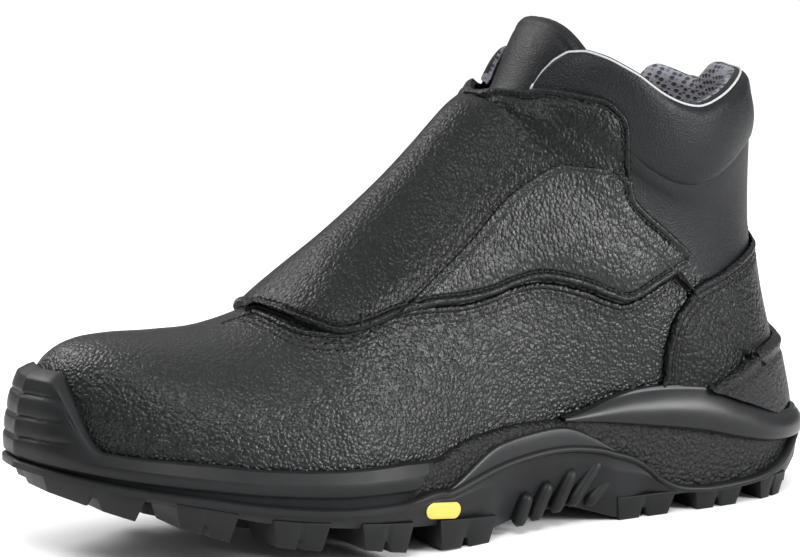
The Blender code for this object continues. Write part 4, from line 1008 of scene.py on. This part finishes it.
def collar_pieces():
    turn = np.linspace(0, math.pi / 2, 12)
    crown, inward = 0.80 + 0.20 * np.sin(turn), 0.50 * (1 - np.cos(turn))
    outer = [(u, 0.0) for u in np.linspace(-0.01, 0.80, 30)]
    outside = collar_loops(outer + list(zip(crown, inward))[1:])
    leather_part = grid_piece("collar_leather", outside, SMOOTH)
    down = [(u, 1.0 - 0.35 * ease((0.30 - u) / 0.4)) for u in np.linspace(0.78, -0.12, 30)]
    inside = collar_loops(list(zip(crown, 1 - inward))[::-1] + down)
    grid_piece("collar_lining", inside, LINING)
    raw_edge = np.concatenate([outside[0, 6:-5], outside[AROUND < 205, -5]])
    tube("collar_piping", raw_edge + [0, 0, 0.0001], 0.00042, PIPING)
    tube("collar_seam", outside[3:-3, 1], 0.0006, THREAD)
    facing = np.linspace(inside.shape[1] - 1, 0, outside.shape[1]).astype(int)
    for name, k, material in (("collar_end_outer", 0, SMOOTH), ("collar_end_inner", -1, LINING)):
        grid_piece(name, np.stack([outside[k], inside[k][facing]]), material)
    return leather_part


def tongue_piece():
    across = np.linspace(-1, 1, 70)[None, :]
    power = np.where(across > 0, 2.0, 3.0)
    crown = COLLAR_ROW + (TONGUE_ROW - COLLAR_ROW) * (1 - 0.95 * np.abs(across) ** power)
    row = TONGUE_START + (crown - TONGUE_START) * spread(120, 0.4)[:, None]
    narrow = 0.62 + 0.38 * ease((row - TONGUE_START) / 5)
    turn = across * TONGUE_REACH * narrow / np.interp(row, ROWS, ENDS)
    depth = -TONGUE_DEPTH - TONGUE_THICK / 2
    middle = form(row, turn, np.full(row.shape, depth))
    d = edge_distance(middle, [middle[:, 0], middle[-1], middle[:, -1]])
    half = TONGUE_THICK / 2 * round_edge(d, 0.0045)
    outer = depth + half - ridge(d, 0.0050, 0.0008, 0.0004)
    front = grid_piece("tongue_leather", form(row, turn, outer), SMOOTH)
    grid_piece("tongue_lining", form(row, turn, depth - half), LINING)
    return front


COLLAR_LEATHER = collar_pieces()
TONGUE_FRONT = tongue_piece()


# Seams of the vamp and counter, and the dart beside the side panel's seam
def surface_rope(name, line, radius, out):
    count = 220
    fine, _ = resampled(locate(line, 1), count)
    share = np.linspace(0, 1, count)
    taper = np.clip(np.minimum(share, share[::-1]) / 0.04, 0.25, 1)
    return tube(name, lifted(fine, level(out)), radius * taper, LEATHER, 12)


VAMP_XZ = line_xz(VAMP_SEAM)
surface_rope("vamp_seam_band", VAMP_XZ, 0.0013, -0.0002)
surface_rope("vamp_seam_upper", moved_line(VAMP_XZ, -0.0030), 0.0007, -0.0001)


def sewn_lines():
    counter = level(0.0018)
    edge = line_xz(COUNTER_LINE)
    lines = [
        (locate(moved_line(edge, -by)[4:-2], side, counter), counter)
        for side in (1, -1) for by in COUNTER_SEWN
    ]
    lines += [(locate(moved_line(VAMP_XZ, by)[2:-2], 1), level(0.0)) for by in (0.0024, 0.0044)]
    for start, end in DART_XZ:
        dart = locate(np.linspace(start, end, 12), 1, flap_out)
        lines.append((dart, lambda row, turn: flap_out(row, turn, -0.0004)))
    return stitches("seam_stitches", lines)


sewn_lines()


# Sole
ALL = np.arange(COUNT)


def strip(name, keep, rings, material, cap=False):
    """A moulding along the outline: rings are insets and heights for each kept point."""
    ring_points = []
    for inset, height in rings:
        inset = np.broadcast_to(inset, COUNT)[keep]
        xy = OUTLINE[keep] - OUTLINE_NORMAL[keep] * inset[:, None]
        ring_points.append(np.column_stack([xy, np.broadcast_to(height, COUNT)[keep]]))
    grid = np.array(ring_points)
    faces = grid_faces(len(rings), len(keep), len(keep) == COUNT)
    if cap:
        n = OUTLINE_STEPS
        faces += [(0, 1, COUNT - 1)]
        faces += [(i, i + 1, COUNT - i - 1, COUNT - i) for i in range(1, n - 1)] + [(n - 1, n, n + 1)]
    return mesh_piece(name, grid.reshape(-1, 3), faces, material)


def rounded(rings, radius=0.0006, steps=3):
    """The same profile with each of its corners rounded."""
    made = [rings[0]]
    for before, here, after in zip(rings[:-2], rings[1:-1], rings[2:]):
        a, b, c = (np.array([np.broadcast_to(v, COUNT) for v in ring]) for ring in (before, here, after))
        low, high = np.linalg.norm(a - b, axis=0), np.linalg.norm(c - b, axis=0)
        start = b + (a - b) * np.minimum(radius / np.maximum(low, 1e-6), 0.45)
        end = b + (c - b) * np.minimum(radius / np.maximum(high, 1e-6), 0.45)
        for t in np.linspace(0, 1, steps + 1):
            made.append(tuple((1 - t) ** 2 * start + 2 * t * (1 - t) * b + t**2 * end))
    return made + [rings[-1]]


SIDE_AT = {name: side_height(name, OUTLINE_X) for name in SIDE_COLUMNS[1:]}
ALONG_AT = along_of(OUTLINE_X)
HALF_ARC = np.where(OUTLINE[:, 1] > -0.012, BUMPER_HALF_ARC - 0.0085, BUMPER_HALF_ARC - 0.002)
BUMP = ease((HALF_ARC + 0.013 - ARC) / 0.026)
ARCH = ease((ALONG_AT - 0.31) / 0.05) * ease((0.50 - ALONG_AT) / 0.05)
LIP_AT = np.interp(OUTLINE_X, *line_xz(LIP_LINE)[::-1].T)
LENS_BACK, LENS_FRONT = 0.058, 0.143
# The slanted back end of the rail, as x and height
CUT_LOW, CUT_HIGH = (0.1533, 0.0226), (0.1409, 0.0412)
RIB_TOPS = (0.0385, 0.0445, 0.0515, 0.0590)
FRONT_SHARE = ease((OUTLINE_X - 0.146) / 0.016)
EDGE_AT = LIP_AT * (1 - FRONT_SHARE) + SIDE_AT["ledge"] * FRONT_SHARE


def outsole_base():
    arch_low = np.interp(OUTLINE_X, *np.array(UNDERSIDE).T, left=1.0, right=1.0)
    root, top, bead = np.minimum(SIDE_AT["root"], arch_low), EDGE_AT, 1 - FRONT_SHARE
    rings = [
        (0.0100, root + 0.0002),
        (0.0040 + 0.0020 * ARCH, root),
        (0.0015 + 0.0030 * ARCH, root + 0.35 * (top - root)),
        (0.0006 + 0.0020 * ARCH, root + 0.72 * (top - root)),
        (0.0010 * bead + 0.0012 * ARCH, top - 0.0026),
        (-0.0004 * bead, top - 0.0019 * bead),
        (-0.0004 * bead, top - 0.0004),
        (0.0010, top + 0.0004),
        (0.0100, top + 0.0002),
    ]
    return strip("outsole_base", ALL, rounded(rings, 0.0007), RUBBER, cap=True)


def rail():
    keep = np.nonzero(OUTLINE_X > CUT_HIGH[0] - 0.0012)[0]
    ledge, groove, mid, top = (SIDE_AT[k] for k in ("ledge", "groove", "rail", "top"))
    wall = BUMPER_HEIGHT - top
    share = np.clip((OUTLINE_X - CUT_HIGH[0]) / (CUT_LOW[0] - CUT_HIGH[0]), 0, 1)
    slant = CUT_HIGH[1] + (CUT_LOW[1] - CUT_HIGH[1]) * share
    floor = np.where(share < 1, np.minimum(slant, top - 0.0003), -1)
    ribbed = ease((0.030 - ARC) / 0.004)
    tilt = 0.03 * ARC * np.sign(OUTLINE[:, 1] + 0.012)
    rings = [
        (0.0090, ledge - 0.0005), (0.0024, ledge - 0.0005), (0.0024, groove - 0.0012),
        (0.0016, groove - 0.0002), (0.0005, groove + 0.0007), (0.0003, mid - 0.0002 + 0.05 * wall * BUMP),
    ]
    low = mid + 0.05 * wall * BUMP
    high = top - 0.0004 + 0.93 * wall * BUMP
    for k in range(1, 40):
        s = k / 40
        z = low + (high - low) * s
        belly = 0.0004 + 0.0016 * s + (0.0010 * s + 0.0030 * s**3) * BUMP
        cut = sum(ridge(z - tilt, at, 0.00060, 1) for at in RIB_TOPS)
        step = sum(ease((at - z) / 0.004) * ease((z - at + 0.0062) / 0.0022) for at in RIB_TOPS)
        rings.append((belly + ribbed * (0.0009 * cut - 0.0002 * step) * BUMP, z))
    rings += [
        (0.0030 + 0.0042 * BUMP, high + 0.0002), (0.0038 + 0.0052 * BUMP, high + 0.0006 + 0.0006 * BUMP),
        (0.0048 + 0.0066 * BUMP, top + wall * BUMP), (0.0060 + 0.0064 * BUMP, top + wall * BUMP - 0.0012),
        (0.0066 + 0.0050 * BUMP, top + wall * BUMP - 0.004),
    ]
    cut_rings = [(0.0085, np.maximum(rings[0][1], floor))]
    for inset, height in rings:
        inset = np.where(height < floor, np.maximum(inset, 0.0010), inset)
        cut_rings.append((inset, np.maximum(height, floor)))
    return strip("outsole_rail", keep, cut_rings, RUBBER)


def behind(limit):
    """Outline points behind x, from the lateral side round the heel to the medial side."""
    lateral = [i for i in range(OUTLINE_STEPS, -1, -1) if OUTLINE[i, 0] < limit]
    medial = [i for i in range(COUNT - 1, OUTLINE_STEPS, -1) if OUTLINE[i, 0] < limit]
    return np.array(lateral + medial)


def midsole():
    top = SIDE_AT["top"]
    low = LIP_AT - 0.002
    rings = [
        (0.0036, low), (0.0027, low + 0.0015), (0.0025, low + 0.35 * (top - low)), (0.0025, top - 0.0030),
        (0.0030, top - 0.0012), (0.0042, top - 0.0002), (0.0085, top + 0.0002),
    ]
    strip("midsole_crumb", behind(0.154), rounded(rings, 0.0008, 4), CRUMB)
    rise = 0.0072 * ease((OUTLINE_X - LENS_BACK) / 0.030) * ease((LENS_FRONT - OUTLINE_X) / 0.030)
    rings = [
        (0.0020, LIP_AT - 0.001), (0.0009, LIP_AT), (0.0010, LIP_AT + rise * 0.6),
        (0.0013, LIP_AT + rise * 0.92), (0.0032, LIP_AT + rise),
    ]
    for name, side in (("midsole_lens_outer", 1), ("midsole_lens_inner", -1)):
        keep = [i for i in behind(LENS_FRONT) if OUTLINE_X[i] > LENS_BACK and OUTLINE[i, 1] * side > 0]
        strip(name, np.array(keep), rounded(rings, 0.0006), SATIN)


def cradle():
    low = np.interp(OUTLINE_X, *line_xz(CRADLE_LINE)[::-1].T)
    top = np.maximum(SIDE_AT["top"] + 0.0006, low + 0.0004)
    tall = np.clip((top - low) / 0.014, 0, 1)
    rings = [(0.0040, low + 0.0010), (0.0012, low)]
    for s in np.linspace(0.08, 0.92, 12):
        swell = 0.0026 * math.sin(math.pi * s**0.8) ** 0.9 - 0.0022 * s**3
        rings.append((0.0004 - swell * tall, low + (top - low) * s))
    rings += [(0.0016, top), (0.0036, top + 0.0001), (0.0065, top - 0.001)]
    strip("heel_cradle_satin", behind(0.088), rounded(rings, 0.0006), SATIN)


outsole_base()
rail()
midsole()
cradle()


def bevelled(name, blocks, material):
    """Convex blocks of the tread with rounded edges; each is rings of points."""
    build = bmesh.new()
    for loops in blocks:
        verts = [[build.verts.new(p) for p in loop] for loop in loops]
        for a, b in zip(verts[:-1], verts[1:]):
            for j in range(len(a)):
                k = (j + 1) % len(a)
                build.faces.new((a[j], a[k], b[k], b[j]))
        build.faces.new(verts[0])
        build.faces.new(verts[-1][::-1])
    bmesh.ops.recalc_face_normals(build, faces=build.faces)
    sharp = [e for e in build.edges if e.calc_face_angle(0) > 0.35]
    bmesh.ops.bevel(
        build, geom=sharp, offset=LUG_ROUND, segments=3, profile=0.5, affect="EDGES", clamp_overlap=True,
    )
    mesh = bpy.data.meshes.new(name)
    build.to_mesh(mesh)
    build.free()
    return named_piece(name, mesh, material, 40)


def edge_block(start, end, reach, side):
    loops = []
    for share, notched in ((0.0, 0), (0.41, 0), (0.47, 1), (0.53, 1), (0.59, 0), (1.0, 0)):
        x = x_of(start + (end - start) * share)
        low_x = x + LUG_DRAFT * (1 - 2 * share)
        outer_high, outer_low = outline_y(x, 0.0012, side), outline_y(low_x, 0.0012 + LUG_DRAFT, side)
        inner_high = outer_high - side * reach * BALL_WIDTH / 2
        inner_low = inner_high + side * LUG_DRAFT
        low = side_height("tread", x) + 0.0035 * notched
        high = side_height("root", x) + 0.0022
        loops.append([
            (low_x, outer_low, low), (low_x, inner_low, low), (x, inner_high, high), (x, outer_high, high),
        ])
    return loops


def centre_block(along, across, half_length, half_width, skew):
    half_ball = BALL_WIDTH / 2
    loops = []
    for share in (-1.0, 0.0, 1.0):
        y = (across + share * half_width) * half_ball
        shift = -abs(share) * skew * half_width * half_ball
        ends = []
        for end in (-1, 1):
            x = x_of(along + end * half_length) + shift
            tread = float(side_height("tread", x)) if along > REST_END else 0.0
            root = float(side_height("root", x)) + 0.0012
            ends.append(((x - end * LUG_DRAFT * 0.6, y, tread), (x, y, root)))
        loops.append([ends[0][0], ends[1][0], ends[1][1], ends[0][1]])
    return loops


def arch_rib(name, low_a, low_u, high_a, high_u, side):
    """A slanted rounded bar on the arch's side."""
    share = np.linspace(0, 1, 14)[:, None]
    low = np.array([x_of(low_a), low_u * COLLAR_TOP])
    line = low + share * ([x_of(high_a), high_u * COLLAR_TOP] - low)
    y = outline_y(line[:, 0], 0.0048, side) + side * 0.0010 * share[:, 0]
    ends = np.sqrt(np.clip(1 - (2 * share[:, 0] - 1) ** 6, 0.02, 1))
    return tube(name, np.column_stack([line[:, 0], y, line[:, 1]]), 0.0027 * ends, RUBBER, 12)


LUGS = [edge_block(*row, 1) for row in LATERAL_LUGS] + [edge_block(*row, -1) for row in MEDIAL_LUGS]
bevelled("outsole_lugs", LUGS + [centre_block(*row) for row in CENTRE_LUGS], RUBBER)
for rib_number, rib_row in enumerate(ARCH_RIBS):
    arch_rib(f"outsole_rib_outer_{rib_number}", *rib_row, 1)
    arch_rib(f"outsole_rib_inner_{rib_number}", *rib_row, -1)


def inlay():
    """A plain rounded inlay on the sole's outer side."""
    centre, tilt = np.array([0.1416, 0.0158]), math.radians(8)
    rings = []
    for share, out in ((1.0, -0.0010), (1.0, 0.0002), (0.94, 0.0004), (0.6, 0.00045), (0.01, 0.00045)):
        angle = np.linspace(0, 2 * np.pi, 64, endpoint=False)
        a = (0.0048 * np.sign(np.cos(angle)) + 0.0030 * np.cos(angle)) * share
        b = 0.0029 * np.sin(angle) * share
        x = centre[0] + a * math.cos(tilt) - b * math.sin(tilt)
        z = centre[1] + a * math.sin(tilt) + b * math.cos(tilt)
        rings.append(np.column_stack([x, outline_y(x, 0.0010, 1) + out, z]))
    grid = np.array(rings)
    faces = grid_faces(5, 64, True) + [tuple(range(256, 320))]
    return mesh_piece("side_inlay", grid.reshape(-1, 3), faces, YELLOW)


def footbed():
    inset, floor = FEATHER_INSET + WALL + FOOTBED_GAP, SIDE_AT["floor"]
    rings = [
        (inset + 0.004, floor + 0.0042), (inset + 0.0008, floor + 0.0040),
        (inset, floor + 0.0020), (inset, floor),
    ]
    return strip("footbed_top", ALL, rings, FOOTBED, cap=True)


inlay()
footbed()

REPLACED = {
    "upper_leather": ("upper",), "counter_leather": ("heel_counter",), "guard_rubber": ("heel_guard",),
    "flap_front_leather": ("flap_front",), "flap_side_leather": ("flap_side",), "collar_leather": ("collar",),
    "tongue_leather": ("tongue",), "outsole_base": ("outsole",), "midsole_crumb": ("midsole",),
    "heel_cradle_satin": ("heel_cradle",), "footbed_top": ("insole",),
}
for piece_name, piece in PARTS.items():
    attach(piece, "root")
    for replaced in REPLACED.get(piece_name, ()):
        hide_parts(replaced)


# Stage, light and camera
FLOOR_HALF = 9
# Lights: place, point they face, size and power
LIGHTS = {
    "key_light": ((0.62, 0.80, 0.95), (0.15, 0, 0.07), (0.42, 0.36), 9),
    "front_light": ((-0.72, 1.20, 0.50), (0.06, 0, 0.07), (0.50, 0.50), 27),
    "back_light": ((0.55, -0.75, 0.75), (0.12, 0, 0.1), (0.6, 0.35), 7),
}
# Camera: degrees round from the outer side and up, the point it faces, distance and lens in mm
CAMERA_ROUND, CAMERA_UP = math.radians(30), math.radians(9.7)
CAMERA_TARGET = Vector((0.12995, 0.0, 0.08839))
CAMERA_AWAY = 1.3
CAMERA_LENS = 165.19


def area_light(name, place, aim, size, power):
    light = bpy.data.lights.new(name, "AREA")
    light.shape = "RECTANGLE"
    light.size, light.size_y = size
    light.energy = power
    obj = bpy.data.objects.new(name, light)
    obj.location = place
    obj.rotation_euler = (Vector(aim) - Vector(place)).to_track_quat("-Z", "Y").to_euler()
    bpy.context.scene.collection.objects.link(obj)


def studio():
    along = np.linspace(-FLOOR_HALF, FLOOR_HALF, 13)
    grid = np.array([[(x, y, 0.0) for x in along] for y in along])
    floor = grid_piece("studio_floor", grid, base_material("studio_floor", (0.93, 0.93, 0.93), 0.9, 0.1)[0])
    PARTS.pop("studio_floor")
    world = bpy.data.worlds.new("studio_world")
    bpy.context.scene.world = world
    world.use_nodes = True
    sky = world.node_tree
    direction = add(sky, "TexCoord", {}).outputs["Generated"]
    height = add(sky, "SeparateXYZ", {"Vector": direction}).outputs["Z"]
    strength = ranged(sky, height, 0.10, 0.95, 0.12, 1.48)
    sky.nodes["Background"].inputs["Color"].default_value = (1, 1, 1, 1)
    sky.links.new(strength, sky.nodes["Background"].inputs["Strength"])
    for name, values in LIGHTS.items():
        area_light(name, *values)
    view = bpy.context.scene.view_settings
    view.view_transform, view.look, view.exposure = "Standard", "None", 0.0


def camera():
    flat = math.cos(CAMERA_UP)
    back = Vector((math.sin(CAMERA_ROUND) * flat, math.cos(CAMERA_ROUND) * flat, math.sin(CAMERA_UP)))
    data = bpy.data.cameras.new("camera")
    data.lens, data.sensor_width = CAMERA_LENS, 36.0
    obj = bpy.data.objects.new("camera", data)
    obj.location = CAMERA_TARGET + back * CAMERA_AWAY
    obj.rotation_euler = (-back).to_track_quat("-Z", "Y").to_euler()
    bpy.context.scene.collection.objects.link(obj)
    bpy.context.scene.camera = obj


studio()
camera()
